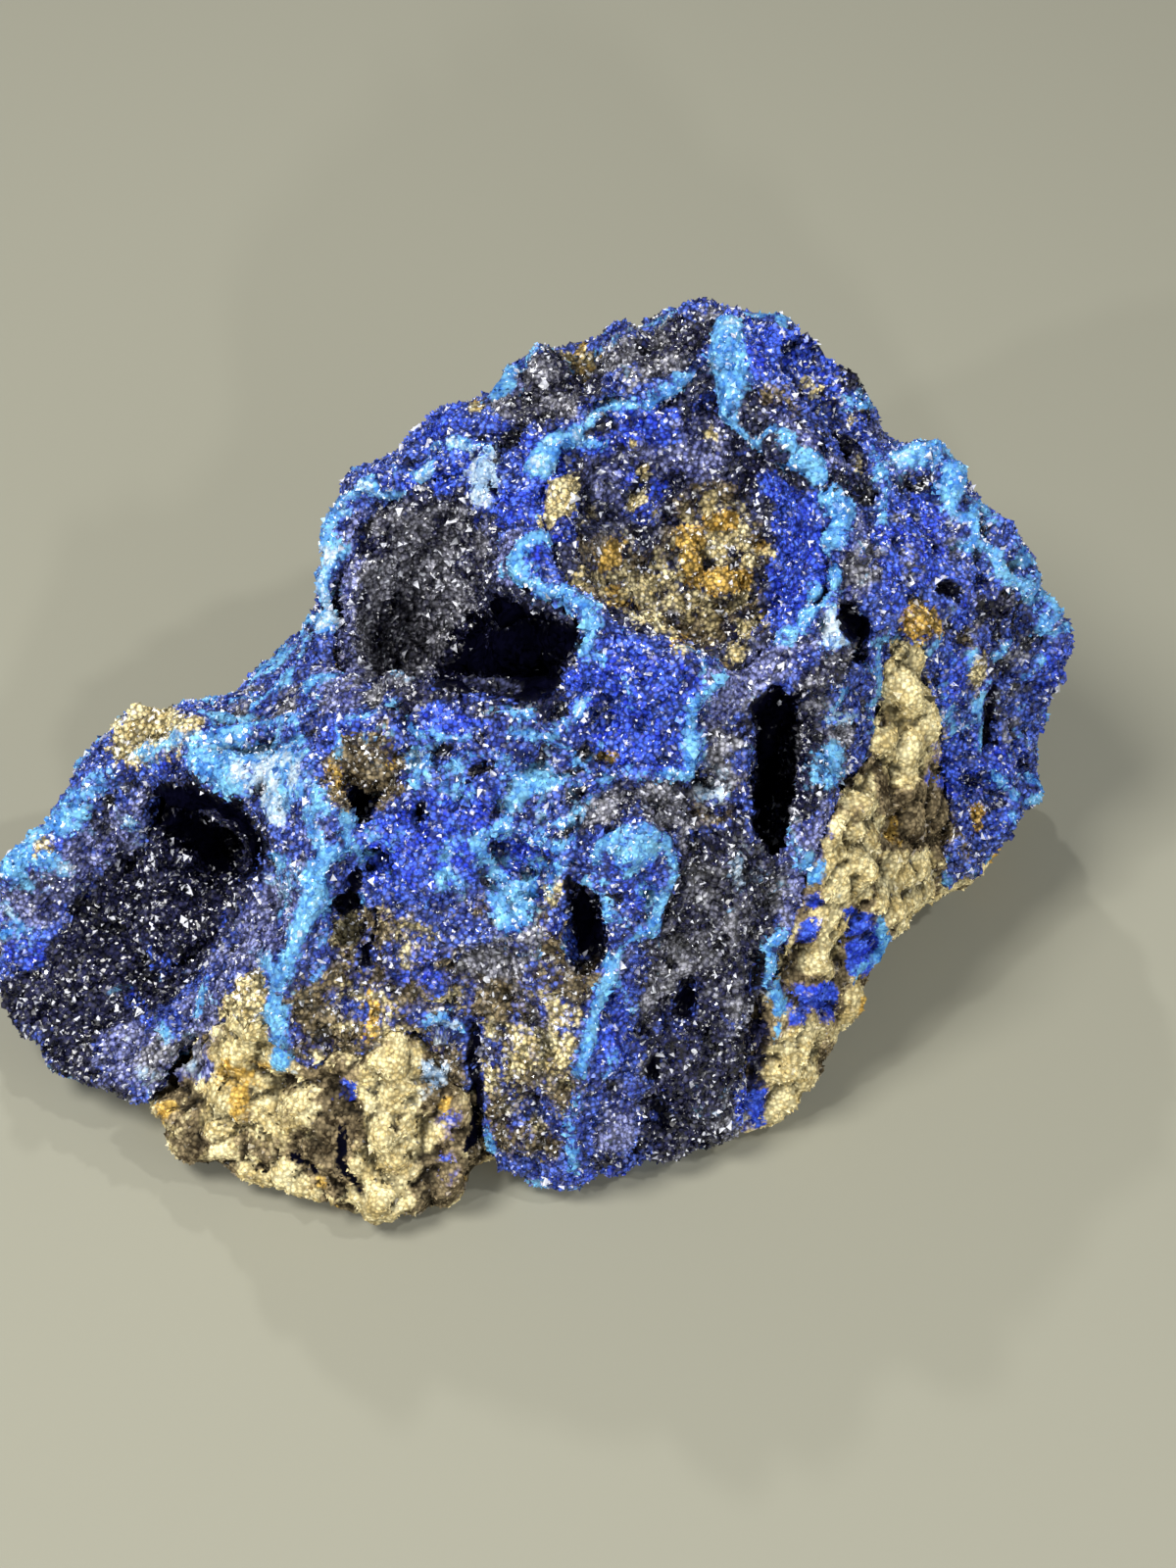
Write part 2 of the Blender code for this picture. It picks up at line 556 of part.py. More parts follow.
def grow_crystals(shell, cutter, count, scale, seed, collection):
    """Stands crystals on the inner face of a druse and joins them to it."""
    random = np.random.default_rng(seed)
    tree = tree_of(cutter)
    feet, normals, areas = [], [], []
    for face in shell.data.polygons:
        outward = tree.find_nearest(face.center)[1]
        if face.normal.dot(outward) < -0.5:
            feet.append(face.center - face.normal * CRYSTAL_SINK * MM)
            normals.append(face.normal.copy())
            areas.append(face.area)
    areas = np.array(areas)
    for i in random.choice(len(feet), size=count, replace=False, p=areas / areas.sum()):
        lean = Vector(random.normal(0, CRYSTAL_LEAN, 3))
        size = scale * random.uniform(CRYSTAL_LEAST, CRYSTAL_MOST)
        spin = random.uniform(0, math.tau)
        grown = crystal(feet[i], (normals[i] + lean).normalized(), size, spin, collection)
        boolean(shell, grown, "UNION")
    boolean(shell, offset_copy(cutter, -LEAST_GAP, collection), "INTERSECT")


def finish(name, obj, material, collection):
    """Makes a node of the specimen out of a helper's mesh."""
    bm = bmesh.new()
    bm.from_mesh(obj.data)
    bmesh.ops.triangulate(bm, faces=bm.faces)
    part = add_object(name, bm, collection)
    keep_largest(part)
    part.data.materials.append(material)
    return part


def centre(objects):
    """Puts the origin at the middle of the underside."""
    points = np.vstack([points_of(obj) for obj in objects])
    low, high = points.min(0), points.max(0)
    shift = np.array([(low[0] + high[0]) / 2, (low[1] + high[1]) / 2, low[2]])
    for obj in objects:
        set_points(obj, points_of(obj) - shift)


def main():
    clear_scene()
    helpers = new_collection("helpers")
    specimen = new_collection("azurite_specimen")
    stone = stone_body(helpers)
    skin = offset_copy(stone, -DRUSE_RIM, helpers)
    decimate(skin, SKIN_FACES)
    cut_flat(stone, helpers)
    cutters = {name: hollow_cutter("cut_" + name, blobs, helpers) for name, blobs in HOLLOWS.items()}
    for cutter in cutters.values():
        boolean(stone, cutter, "DIFFERENCE")
    zone = rock_zone(helpers)
    rock = bpy.data.objects.new("rock", stone.data.copy())
    helpers.objects.link(rock)
    boolean(rock, zone, "INTERSECT")
    boolean(stone, offset_copy(zone, GAP, helpers), "DIFFERENCE")
    blue = new_material("azurite", (0.02, 0.05, 0.45), 0.4)
    cream = new_material("limonite", (0.55, 0.42, 0.22), 0.9)
    dark = new_material("druse", (0.01, 0.015, 0.12), 0.2)
    parts = [
        finish("azurite_mass", stone, blue, specimen),
        finish("limonite_rock", rock, cream, specimen),
    ]
    wide_cutters = {key: offset_copy(cutters[key], DRUSE_CLEARANCE, helpers) for key in cutters}
    for name, hollow, count, scale, seed in DRUSES:
        others = [wide_cutters[key] for key in cutters if key != hollow]
        shell = druse_shell(name + "_shell", cutters[hollow], skin, others, helpers)
        grow_crystals(shell, cutters[hollow], count, scale, seed, helpers)
        parts.append(finish(name, shell, dark, specimen))
    centre(parts)
    for obj in helpers.objects:
        obj.hide_render = True
        obj.display_type = "WIRE"


main()
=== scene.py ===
import math

import bmesh
import bpy
import numpy as np
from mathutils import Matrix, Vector
from mathutils.bvhtree import BVHTree

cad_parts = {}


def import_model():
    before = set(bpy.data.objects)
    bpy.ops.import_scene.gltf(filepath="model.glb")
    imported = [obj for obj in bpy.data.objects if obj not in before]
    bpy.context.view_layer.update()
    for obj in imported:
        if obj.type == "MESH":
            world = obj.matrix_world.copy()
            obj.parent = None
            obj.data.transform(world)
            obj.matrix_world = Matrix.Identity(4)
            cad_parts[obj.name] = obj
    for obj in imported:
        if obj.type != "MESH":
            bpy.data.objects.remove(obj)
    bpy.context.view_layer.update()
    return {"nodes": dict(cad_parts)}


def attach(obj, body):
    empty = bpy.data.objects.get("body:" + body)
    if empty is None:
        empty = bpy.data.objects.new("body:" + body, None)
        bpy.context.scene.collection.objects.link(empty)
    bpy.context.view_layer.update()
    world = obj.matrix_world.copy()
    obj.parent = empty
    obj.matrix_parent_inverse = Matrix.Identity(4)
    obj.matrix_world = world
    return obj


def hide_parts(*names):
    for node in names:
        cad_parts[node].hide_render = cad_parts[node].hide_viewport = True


# Lengths are millimetres up to the moment a mesh is stored, and pixels are those of a 1200 x 1600 picture.
MM = 0.001
SEED = 20

# The camera of the picture that the stone is matched to.
FRAME_WIDTH = 1200.0
FRAME_HEIGHT = 1600.0
FOCAL_PIXELS = 2940.0
SENSOR = 36.0
PIXELS_PER_MM = 21.0
CAMERA_TARGET = np.array((3.015, -2.292, 13.0))
CAMERA_ELEVATION = math.radians(48.0)
CAMERA_DISTANCE = 140.0
CAMERA_BACK = np.array((0.0, -math.cos(CAMERA_ELEVATION), math.sin(CAMERA_ELEVATION)))
CAMERA_UP = np.array((0.0, math.sin(CAMERA_ELEVATION), math.cos(CAMERA_ELEVATION)))
CAMERA_RIGHT = np.array((1.0, 0.0, 0.0))
CAMERA_PLACE = CAMERA_TARGET + CAMERA_BACK * CAMERA_DISTANCE

# The way the crystals of the left lobe point along.
GRAIN_DIRECTION = np.array((1.05, 0.63, 0.70))

# Skins: CAD node, piece name, slot, growth and voxel in millimetres, smoothing rounds.
SKINS = (
    ("azurite_mass", "azurite_skin", "azurite", 0.05, 0.335, 4),
    ("limonite_rock", "limonite_skin", "limonite", 0.12, 0.33, 3),
    ("druse_trough", "trough_crust", "druse", 0.35, 0.27, 2),
    ("druse_vug", "vug_crust", "druse", 0.35, 0.27, 2),
    ("druse_bowl", "bowl_crust", "druse", 0.35, 0.27, 2),
)

# Colour zones. The last two are painted shade: the one darkens the colour under it in crevices and hollows,
# the other paints holes and sunk spots near black. Each is a weight stored on the points of every piece.
ZONES = ("dark", "royal", "violet", "brown", "grey", "cream", "ochre", "light", "pale", "shade", "deep")

# Shares of the other colours that a patch, a light line and a hole's painted shade take away.
PATCH_FADE = 0.75
LINE_FADE = 0.8
HOLE_FADE = 0.9

# Share of a light line's drawn half width that its relief and colour take.
LINE_SHARE = 0.85

# How far a drawn line's point and a knob's point may move to meet a nearer place on the stone, and the step
# between the places of a line, in pixels.
LINE_REACH = 7
KNOB_REACH = 5
LINE_STEP = 5.0

# In the tables below, a line's points and an outline's corners are pixels: x, y, x, y and so on.
# Raised light lines: half width in pixels, height in millimetres, pale share, strength, points.
LINES = (
    (13, 0.65, 0.3, 0.45, (0, 895, 30, 868, 60, 850, 85, 815, 100, 800, 150, 772, 200, 760, 260, 750,
        312, 742)),
    (8, 0.43, 0.2, 0.5, (312, 745, 320, 790, 330, 825, 350, 836)),
    (12, 0.51, 0.1, 0.75, (345, 860, 325, 880, 320, 920, 305, 950, 290, 990, 285, 1040, 290, 1085)),
    (6, 0.43, 0.3, 0.55, (405, 710, 425, 730, 436, 760, 440, 790)),
    (6, 0.43, 0.3, 0.5, (405, 712, 380, 730, 355, 740, 350, 770)),
    (10, 0.51, 0.5, 0.8, (332, 645, 326, 610, 334, 565, 345, 520, 372, 500, 415, 500, 440, 478)),
    (7, 0.43, 0.5, 0.7, (442, 456, 460, 450, 480, 452, 500, 459)),
    (10, 0.29, 0.6, 0.6, (500, 462, 492, 480, 488, 498, 500, 515)),
    (11, 0.65, 0.3, 1.0, (545, 480, 555, 466, 569, 449, 602, 432, 651, 409, 695, 389, 728, 371,
        742, 352)),
    (8, 0.5, 0.1, 0.7, (560, 484, 570, 468, 590, 455, 615, 450)),
    (15, 0.65, 0.2, 1.0, (744, 334, 744, 360, 745, 384, 754, 414)),
    (12, 0.72, 0.1, 1.0, (754, 414, 766, 430, 781, 442, 800, 454, 814, 462)),
    (11, 0.65, 0.0, 1.0, (814, 462, 826, 474, 834, 486, 843, 505, 863, 519, 857, 538, 853, 560)),
    (7, 0.4, 0.1, 1.0, (853, 560, 846, 590, 828, 615, 826, 640)),
    (11, 0.58, 0.1, 1.0, (552, 548, 536, 560, 530, 580, 548, 600, 575, 606, 600, 622, 612, 642)),
    (8, 0.22, 0.2, 0.6, (612, 642, 600, 660, 640, 690, 645, 720)),
    (10, 0.29, 0.5, 0.6, (520, 745, 560, 748, 585, 735, 598, 715)),
    (6, 0.36, 0.1, 0.6, (425, 742, 450, 752, 480, 755)),
    (6, 0.43, 0.1, 0.75, (552, 747, 572, 756, 585, 775, 602, 782, 622, 783, 655, 786, 700, 790)),
    (8, 0.36, 0.1, 0.7, (730, 690, 708, 712, 704, 745, 703, 790)),
    (6, 0.36, 0.1, 0.6, (455, 786, 468, 775, 482, 770, 510, 776, 530, 796)),
    (8, 0.43, 0.2, 0.8, (490, 850, 492, 870, 500, 890, 530, 905, 565, 900, 576, 885, 565, 860, 540, 845,
        515, 841)),
    (7, 0.14, 0.2, 1.0, (505, 920, 515, 940, 530, 945)),
    (5, 0.29, 0.1, 1.0, (600, 898, 615, 930, 620, 960, 620, 990)),
    (8, 0.36, 0.1, 0.8, (620, 990, 607, 1040, 596, 1080, 588, 1130, 584, 1185)),
    (8, 0.36, 0.2, 0.7, (610, 872, 630, 852, 655, 845, 676, 856, 684, 890, 672, 920, 664, 945)),
    (16, 0.51, 0.3, 0.7, (915, 470, 935, 468, 955, 470)),
    (7, 0.36, 0.1, 0.6, (905, 482, 900, 515, 896, 550, 905, 570)),
    (9, 0.43, 0.1, 0.8, (962, 472, 974, 485, 974, 505, 967, 522)),
    (9, 0.51, 0.1, 0.9, (990, 522, 992, 545, 1005, 566, 1025, 588, 1048, 600)),
    (7, 0.43, 0.1, 0.8, (1050, 585, 1058, 605, 1070, 622, 1058, 640, 1085, 642)),
    (8, 0.43, 0.2, 1.0, (1025, 655, 1015, 668)),
    (9, 0.43, 0.2, 1.0, (1060, 672, 1040, 686)),
    (5, 0.29, 0.0, 1.0, (1006, 695, 1004, 730, 1004, 765)),
    (7, 0.36, 0.1, 1.0, (1018, 790, 1030, 812)),
    (6, 0.36, 0.1, 1.0, (830, 600, 829, 620, 824, 640)),
    (7, 0.36, 0.1, 1.0, (795, 950, 782, 965, 783, 990, 790, 1020, 788, 1060)),
    (8, 0.36, 0.2, 1.0, (898, 950, 892, 975, 870, 990)),
    (8, 0.29, 0.2, 1.0, (215, 1000, 205, 1030)),
    (7, 0.29, 0.3, 1.0, (435, 1040, 455, 1035, 475, 1055)),
    (7, 0.29, 0.2, 1.0, (490, 1115, 488, 1140, 496, 1170)),
    (6, 0.22, 0.5, 0.5, (870, 560, 880, 590, 870, 600)),
    (9, 0.14, 0.9, 0.6, (880, 625, 858, 640, 845, 655)),
    (7, 0.14, 0.8, 0.5, (840, 735, 870, 730)),
    (7, 0.29, 0.0, 0.5, (470, 700, 500, 722, 540, 728)),
    (8, 0.29, 0.0, 0.6, (820, 870, 835, 890, 820, 900)),
)

# Sunk spots, darkened with painted shade: half width in pixels, depth in millimetres, points.
PITS = (
    (26, 1.6, (180, 835, 215, 850, 240, 868)),
    (30, 1.8, (490, 672, 530, 660, 570, 660)),
    (22, 1.2, (470, 690, 540, 690)),
    (14, 1.0, (795, 715, 780, 760, 775, 820)),
    (12, 1.2, (368, 815, 370, 822)),
    (8, 0.8, (431, 827, 432, 828)),
    (9, 0.9, (372, 888, 360, 905, 352, 922)),
    (12, 1.0, (866, 630, 876, 650)),
    (10, 0.9, (705, 1008, 700, 1030)),
    (8, 0.8, (670, 1072, 664, 1098)),
    (8, 1.0, (480, 1055, 484, 1110, 484, 1175)),
    (7, 1.0, (1018, 690, 1010, 730, 1012, 765)),
    (9, 0.7, (962, 598, 975, 605)),
    (7, 0.6, (500, 780, 484, 788)),
    (8, 0.8, (375, 935, 372, 985)),
    (10, 0.6, (675, 1130, 685, 1150)),
    (6, 0.5, (350, 1150, 348, 1185, 366, 1215)),
    (6, 0.5, (300, 1180, 320, 1195)),
    (7, 0.6, (772, 975, 770, 1005)),
)

# Knobs and dents in the outline of the stone: half width, height, places, all in millimetres.
OUTLINE_FORMS = (
    (2.0, -4.0, ((13.9, 15.6, 27.0), (14.9, 15.0, 26.3), (15.9, 13.8, 25.4), (16.7, 12.7, 24.6))),
    (1.2, -3.4, ((2.6, 15.6, 26.2), (2.6, 14.6, 26.2), (2.6, 13.6, 26.0), (2.6, 12.6, 25.8))),
    (0.8, -1.8, ((5.8, 16.4, 27.4), (5.8, 15.4, 27.4), (5.8, 14.6, 27.2))),
    (0.8, -1.0, ((10.8, 16.4, 28.6), (10.8, 15.2, 28.6))),
    (0.9, -2.1, ((-0.7, 15.0, 25.3), (-0.7, 13.8, 25.3), (-0.7, 12.8, 25.2))),
    (0.7, -1.0, ((-5.0, 12.6, 24.0), (-5.0, 11.6, 24.0))),
    (1.5, 0.8, ((1.2, 14.4, 26.2),)),
    (1.4, 0.7, ((4.6, 14.8, 27.0),)),
    (1.3, 0.3, ((12.4, 15.0, 28.0),)),
    (1.4, -0.9, ((-2.2, 13.6, 25.0), (-2.2, 12.6, 24.8))),
)

# Knobs: half width in pixels, height in millimetres, points.
KNOBS = (
    (34, 1.2, (558, 385, 566, 378)),
    (34, 1.1, (640, 365, 650, 355)),
    (34, 0.9, (700, 345, 712, 338)),
    (30, 0.9, (505, 418, 512, 416)),
    (26, 1.3, (822, 690, 834, 680, 846, 668)),
    (18, 0.6, (450, 432, 462, 430)),
    (20, 0.6, (385, 492, 400, 488)),
    (18, 0.5, (800, 335, 806, 332)),
    (22, 0.7, (930, 472, 942, 470)),
    (16, 0.7, (968, 488, 970, 500)),
    (20, 0.7, (1018, 545, 1024, 556)),
    (16, 0.6, (1062, 622, 1066, 628)),
    (18, 0.6, (1078, 655, 1080, 662)),
    (18, 0.7, (1045, 800, 1050, 805)),
    (20, 0.8, (135, 752, 160, 742)),
    (18, 0.7, (192, 742, 198, 748)),
    (16, 0.6, (215, 735, 228, 732)),
    (20, 0.6, (455, 660, 460, 668)),
    (16, 0.6, (860, 560, 870, 570)),
    (18, 0.7, (735, 600, 745, 605)),
    (18, 0.6, (640, 560, 646, 565)),
    (16, 0.8, (700, 560, 702, 575)),
    (16, 0.8, (568, 500, 570, 520)),
    (14, 0.6, (765, 555, 770, 557)),
    (18, 0.8, (935, 630, 937, 640)),
    (18, 0.7, (925, 700, 930, 720)),
    (16, 0.7, (925, 790, 915, 815)),
    (16, 0.7, (880, 820, 870, 825)),
    (16, 0.7, (875, 880, 880, 885)),
    (16, 0.7, (835, 965, 838, 985)),
    (14, 0.7, (873, 1010, 870, 1040)),
    (18, 0.8, (810, 1065, 800, 1090)),
    (16, 0.7, (815, 1125, 800, 1135)),
    (18, 0.8, (265, 1015, 255, 1045)),
    (16, 0.7, (235, 1120, 250, 1135)),
    (18, 0.8, (300, 1120, 305, 1140)),
    (20, 0.8, (400, 1085, 405, 1105)),
    (18, 0.8, (395, 1160, 400, 1180)),
    (18, 0.7, (385, 1230, 390, 1240)),
    (16, 0.6, (460, 1170, 462, 1200)),
    (18, 0.6, (530, 1060, 540, 1070)),
    (16, 0.6, (520, 1030, 530, 1030)),
    (16, 0.6, (440, 1000, 445, 1010)),
    (18, 0.6, (530, 1155, 540, 1160)),
    (20, 0.6, (730, 870, 740, 880)),
    (20, 0.6, (710, 940, 720, 950)),
    (20, 0.6, (740, 1080, 735, 1100)),
    (18, 0.6, (700, 1060, 705, 1070)),
    (16, 0.5, (630, 760, 640, 770)),
)

# Outlines that two colours share.
BACK_SLOPE = (480, 400, 540, 350, 600, 350, 650, 325, 740, 305, 738, 350, 700, 378, 640, 402, 560, 440,
    510, 425)
FRONT_SLOPE = (690, 850, 790, 850, 825, 900, 795, 960, 785, 1100, 765, 1180, 690, 1195, 650, 1150,
    645, 1000, 672, 940, 692, 890)
SLIT_LEFT = (725, 740, 765, 700, 768, 780, 760, 830, 715, 830, 712, 790)
SLIT_RIGHT = (800, 720, 850, 700, 880, 740, 868, 800, 840, 850, 800, 850, 795, 800)
BOWL_WALL = (600, 470, 700, 420, 745, 420, 740, 500, 680, 490, 655, 520, 600, 520)
FRONT_HOLLOW = (345, 930, 400, 925, 440, 950, 480, 960, 470, 1060, 400, 1062, 360, 1090, 320, 1090,
    330, 1000)

# Colour patches by zone, painted in this order: strength, soft edge in pixels, outline.
PATCHES = (
    ("dark", (
        (0.6, 12, (0, 1010, 60, 1010, 110, 1080, 150, 1150, 100, 1190, 40, 1150, 0, 1100)),
        (1.0, 16, (60, 900, 150, 852, 190, 868, 268, 885, 245, 945, 205, 1000, 150, 1050, 90, 1085,
            40, 1050, 0, 1030, 0, 1000, 60, 960)),
        # Painted shade: this patch darkens the cave mouth, which lies in shadow.
        (1.0, 8, (145, 805, 190, 788, 230, 806, 265, 828, 280, 860, 270, 895, 240, 905, 200, 890,
            180, 862, 150, 852)),
        (0.9, 14, (375, 520, 430, 512, 480, 500, 500, 540, 500, 600, 600, 645, 600, 700, 560, 738,
            440, 735, 385, 722, 355, 700, 362, 640, 362, 570)),
        (0.8, 12, BACK_SLOPE),
        (0.8, 12, (575, 800, 640, 790, 760, 775, 772, 850, 700, 850, 640, 842, 590, 852)),
        (0.9, 14, FRONT_SLOPE),
        # Painted shade: this patch darkens the slit, which lies in shadow.
        (1.0, 8, (762, 705, 800, 700, 850, 650, 885, 620, 893, 655, 845, 700, 800, 745, 792, 800,
            780, 850, 762, 850, 768, 780)),
        (0.7, 10, (345, 925, 400, 930, 408, 1000, 360, 990)),
        (0.7, 10, (440, 703, 560, 705, 565, 735, 470, 735)),
        (0.9, 6, (1008, 665, 1030, 670, 1020, 770, 1005, 770)),
        (0.8, 8, (845, 470, 880, 478, 895, 495, 865, 512, 848, 500)),
        (0.8, 10, (990, 600, 1040, 615, 1030, 640, 1000, 640)),
        (0.7, 8, (985, 805, 1040, 815, 1000, 830)),
        (0.6, 12, (755, 425, 790, 455, 800, 490, 760, 490)),
        (0.6, 12, (1000, 525, 1025, 530, 1040, 570, 1015, 560)),
        (0.6, 10, (600, 1150, 660, 1100, 700, 1190, 600, 1200)),
        (0.45, 12, (425, 870, 480, 905, 560, 925, 585, 985, 520, 960, 450, 930)),
        (0.7, 8, SLIT_LEFT),
        (0.6, 8, SLIT_RIGHT),
    )),
    ("brown", (
        (0.8, 8, (925, 800, 972, 795, 985, 850, 955, 882, 925, 860)),
    )),
    ("dark", (
        (0.5, 8, (935, 805, 985, 800, 990, 850, 955, 880, 935, 850)),
    )),
    ("royal", (
        (1.0, 10, (600, 645, 650, 650, 700, 665, 722, 700, 706, 790, 655, 785, 612, 780, 590, 730,
            575, 700)),
        (0.9, 14, (775, 480, 830, 500, 852, 530, 848, 600, 822, 645, 785, 640, 770, 590, 790, 540)),
        (0.9, 14, (595, 450, 660, 420, 735, 390, 745, 440, 700, 470, 690, 540, 655, 540, 600, 490)),
        (1.0, 8, (760, 325, 800, 320, 825, 325, 815, 360, 795, 385, 762, 380)),
        (0.9, 10, (903, 505, 960, 500, 966, 560, 985, 590, 925, 602, 903, 570)),
        (0.9, 6, (505, 495, 545, 495, 548, 530, 508, 540)),
        (1.0, 3, (367, 834, 382, 829, 398, 834, 400, 858, 385, 867, 370, 857)),
        (1.0, 5, (540, 558, 558, 556, 562, 580, 543, 582)),
        (0.9, 8, (622, 865, 660, 858, 676, 870, 672, 915, 655, 935, 640, 912, 622, 892)),
        (0.75, 8, (610, 1000, 640, 1000, 645, 1060, 640, 1092, 606, 1092, 604, 1040)),
        (1.0, 6, (505, 850, 540, 848, 562, 868, 560, 890, 530, 893, 507, 885)),
        (0.9, 8, (10, 955, 50, 955, 52, 995, 10, 990)),
        (0.9, 6, (115, 1045, 150, 1040, 148, 1070, 118, 1080)),
        (0.7, 12, (390, 830, 450, 800, 520, 800, 500, 845, 480, 900, 400, 930, 365, 860)),
        (0.7, 10, (570, 925, 600, 950, 600, 985, 560, 985, 545, 950)),
        (0.9, 6, (713, 755, 735, 750, 735, 778, 718, 782)),
        (0.8, 12, (945, 750, 1000, 735, 1045, 760, 1035, 800, 1000, 815, 955, 830, 940, 790)),
        (0.7, 12, (950, 640, 990, 640, 985, 720, 960, 725)),
        (0.7, 12, (845, 415, 890, 430, 900, 460, 850, 455)),
        (1.0, 4, (862, 925, 900, 930, 908, 960, 895, 990, 868, 994, 858, 960)),
        (1.0, 4, (816, 868, 846, 860, 852, 884, 826, 892)),
        (1.0, 4, (815, 940, 835, 930, 843, 960, 832, 988, 812, 975)),
        (0.9, 4, (828, 1008, 850, 1000, 858, 1035, 838, 1052, 826, 1035)),
        (0.9, 4, (800, 1040, 822, 1030, 816, 1078, 798, 1078)),
        (0.8, 5, (822, 908, 848, 905, 845, 925, 825, 925)),
        (0.7, 8, (795, 1000, 840, 1000, 845, 1020, 810, 1040, 795, 1030)),
        (0.8, 5, (812, 1065, 842, 1055, 840, 1078, 815, 1082)),
        (0.7, 8, (420, 420, 480, 418, 500, 430, 440, 445)),
        (0.7, 8, (400, 485, 435, 470, 430, 495, 405, 500)),
        (0.7, 10, (430, 715, 470, 722, 520, 735, 515, 745, 440, 745)),
        (0.6, 12, (310, 1000, 345, 1000, 340, 1050, 300, 1080)),
        (0.8, 6, (345, 1100, 368, 1100, 368, 1125, 340, 1150)),
        (0.5, 10, (445, 1130, 478, 1120, 480, 1200, 455, 1235, 432, 1200)),
        (0.7, 8, (495, 1115, 560, 1130, 550, 1150, 500, 1150)),
        (0.7, 8, (755, 1110, 790, 1105, 785, 1150, 755, 1165)),
        (0.7, 8, (550, 1190, 600, 1185, 595, 1210, 555, 1210)),
    )),
    ("violet", (
        (0.9, 14, (0, 905, 60, 865, 150, 800, 153, 850, 60, 930, 0, 965)),
        (0.8, 16, (270, 885, 330, 862, 320, 920, 290, 985, 235, 1040, 160, 1105, 100, 1100, 150, 1050,
            230, 960)),
    )),
    ("dark", (
        (0.7, 12, (0, 985, 60, 1000, 100, 1080, 90, 1105, 40, 1092, 0, 1050)),
    )),
    ("violet", (
        (0.8, 8, (100, 1045, 215, 1035, 220, 1100, 150, 1115, 100, 1110)),
    )),
    ("pale", (
        (0.35, 8, (130, 1060, 200, 1050, 205, 1095, 140, 1105)),
    )),
    ("violet", (
        (0.8, 12, (715, 680, 770, 660, 850, 640, 840, 680, 780, 700, 740, 760, 715, 740)),
        (0.6, 14, (330, 650, 375, 640, 390, 715, 330, 735, 310, 700)),
        (0.7, 10, (345, 520, 375, 520, 365, 600, 350, 640, 340, 600)),
        (0.7, 12, (840, 520, 890, 520, 900, 600, 860, 620, 845, 570)),
        (0.6, 12, (500, 530, 535, 540, 530, 600, 505, 595)),
        (0.7, 10, (790, 850, 830, 840, 845, 800, 860, 860, 830, 920, 800, 950)),
        (0.6, 12, (600, 1110, 650, 1090, 650, 1170, 600, 1180)),
    )),
    ("grey", (
        (0.5, 14, (585, 535, 640, 525, 690, 515, 765, 515, 780, 560, 770, 610, 740, 660, 690, 675,
            650, 640, 590, 605)),
    )),
    ("violet", (
        (0.6, 12, BOWL_WALL),
    )),
    ("brown", (
        (0.8, 14, (590, 540, 660, 560, 680, 500, 770, 490, 780, 560, 770, 610, 740, 660, 690, 675,
            650, 640, 590, 605)),
    )),
    ("cream", (
        (0.42, 14, (590, 520, 660, 540, 690, 490, 770, 500, 780, 560, 770, 610, 740, 660, 690, 675,
            650, 640, 590, 605)),
    )),
    ("brown", (
        (0.85, 10, FRONT_HOLLOW),
        (0.8, 10, (500, 990, 560, 985, 600, 1000, 602, 1090, 588, 1150, 560, 1185, 505, 1170, 492, 1100,
            490, 1030)),
        (0.6, 16, (400, 930, 500, 905, 560, 930, 600, 1000, 595, 1090, 560, 1130, 500, 1115, 400, 1060)),
        (0.7, 12, (300, 985, 360, 985, 395, 1060, 360, 1095, 300, 1095)),
        (0.9, 6, (340, 762, 366, 742, 400, 744, 418, 770, 418, 800, 400, 824, 386, 838, 350, 838,
            336, 815, 334, 785)),
        (0.5, 12, (740, 390, 800, 395, 860, 430, 830, 450, 770, 430)),
        (0.7, 6, (590, 985, 618, 965, 612, 1000, 600, 1040, 585, 1030)),
        (0.7, 8, (510, 1150, 550, 1130, 560, 1160, 530, 1175)),
        (0.6, 12, (900, 820, 960, 800, 985, 850, 960, 880, 910, 860)),
        (0.6, 10, (955, 640, 1040, 640, 1010, 680, 990, 670)),
        (0.5, 12, (700, 800, 765, 790, 765, 845, 700, 845)),
        (0.7, 8, (420, 1080, 475, 1075, 475, 1140, 425, 1140)),
    )),
    ("dark", (
        (0.9, 4, (758, 468, 778, 468, 779, 498, 760, 498)),
        (0.8, 4, (732, 555, 760, 553, 764, 568, 738, 571)),
    )),
    ("grey", (
        (0.65, 12, (375, 520, 430, 512, 480, 500, 500, 540, 498, 600, 470, 640, 440, 690, 385, 722,
            355, 700, 362, 570)),
        (0.5, 12, BACK_SLOPE),
        (0.35, 14, FRONT_SLOPE),
        (0.5, 10, (762, 705, 800, 700, 850, 650, 893, 655, 845, 700, 800, 745, 792, 800, 780, 850,
            762, 850, 768, 780)),
        (0.5, 12, (430, 950, 560, 940, 600, 1010, 595, 1090, 540, 1110, 450, 1080)),
        (0.6, 10, (120, 1062, 215, 1050, 212, 1095, 140, 1108)),
        (0.6, 10, (855, 557, 912, 557, 912, 598, 860, 598)),
        (0.25, 12, BOWL_WALL),
        (0.28, 14, (903, 505, 985, 520, 1060, 620, 1060, 760, 990, 800, 950, 740, 950, 640, 910, 600)),
        (0.4, 10, SLIT_LEFT),
        (0.35, 10, SLIT_RIGHT),
        (0.5, 10, (205, 690, 335, 690, 335, 745, 205, 745)),
        (0.4, 12, (585, 800, 760, 790, 762, 850, 700, 850, 640, 842, 590, 850)),
    )),
    ("violet", (
        (0.9, 4, (780, 414, 800, 420, 840, 443, 872, 470, 868, 480, 830, 458, 795, 436)),
    )),
    ("cream", (
        (0.42, 10, FRONT_HOLLOW),
        (0.4, 10, (500, 1010, 560, 1000, 600, 1010, 602, 1080, 585, 1140, 555, 1165, 505, 1150, 492, 1100,
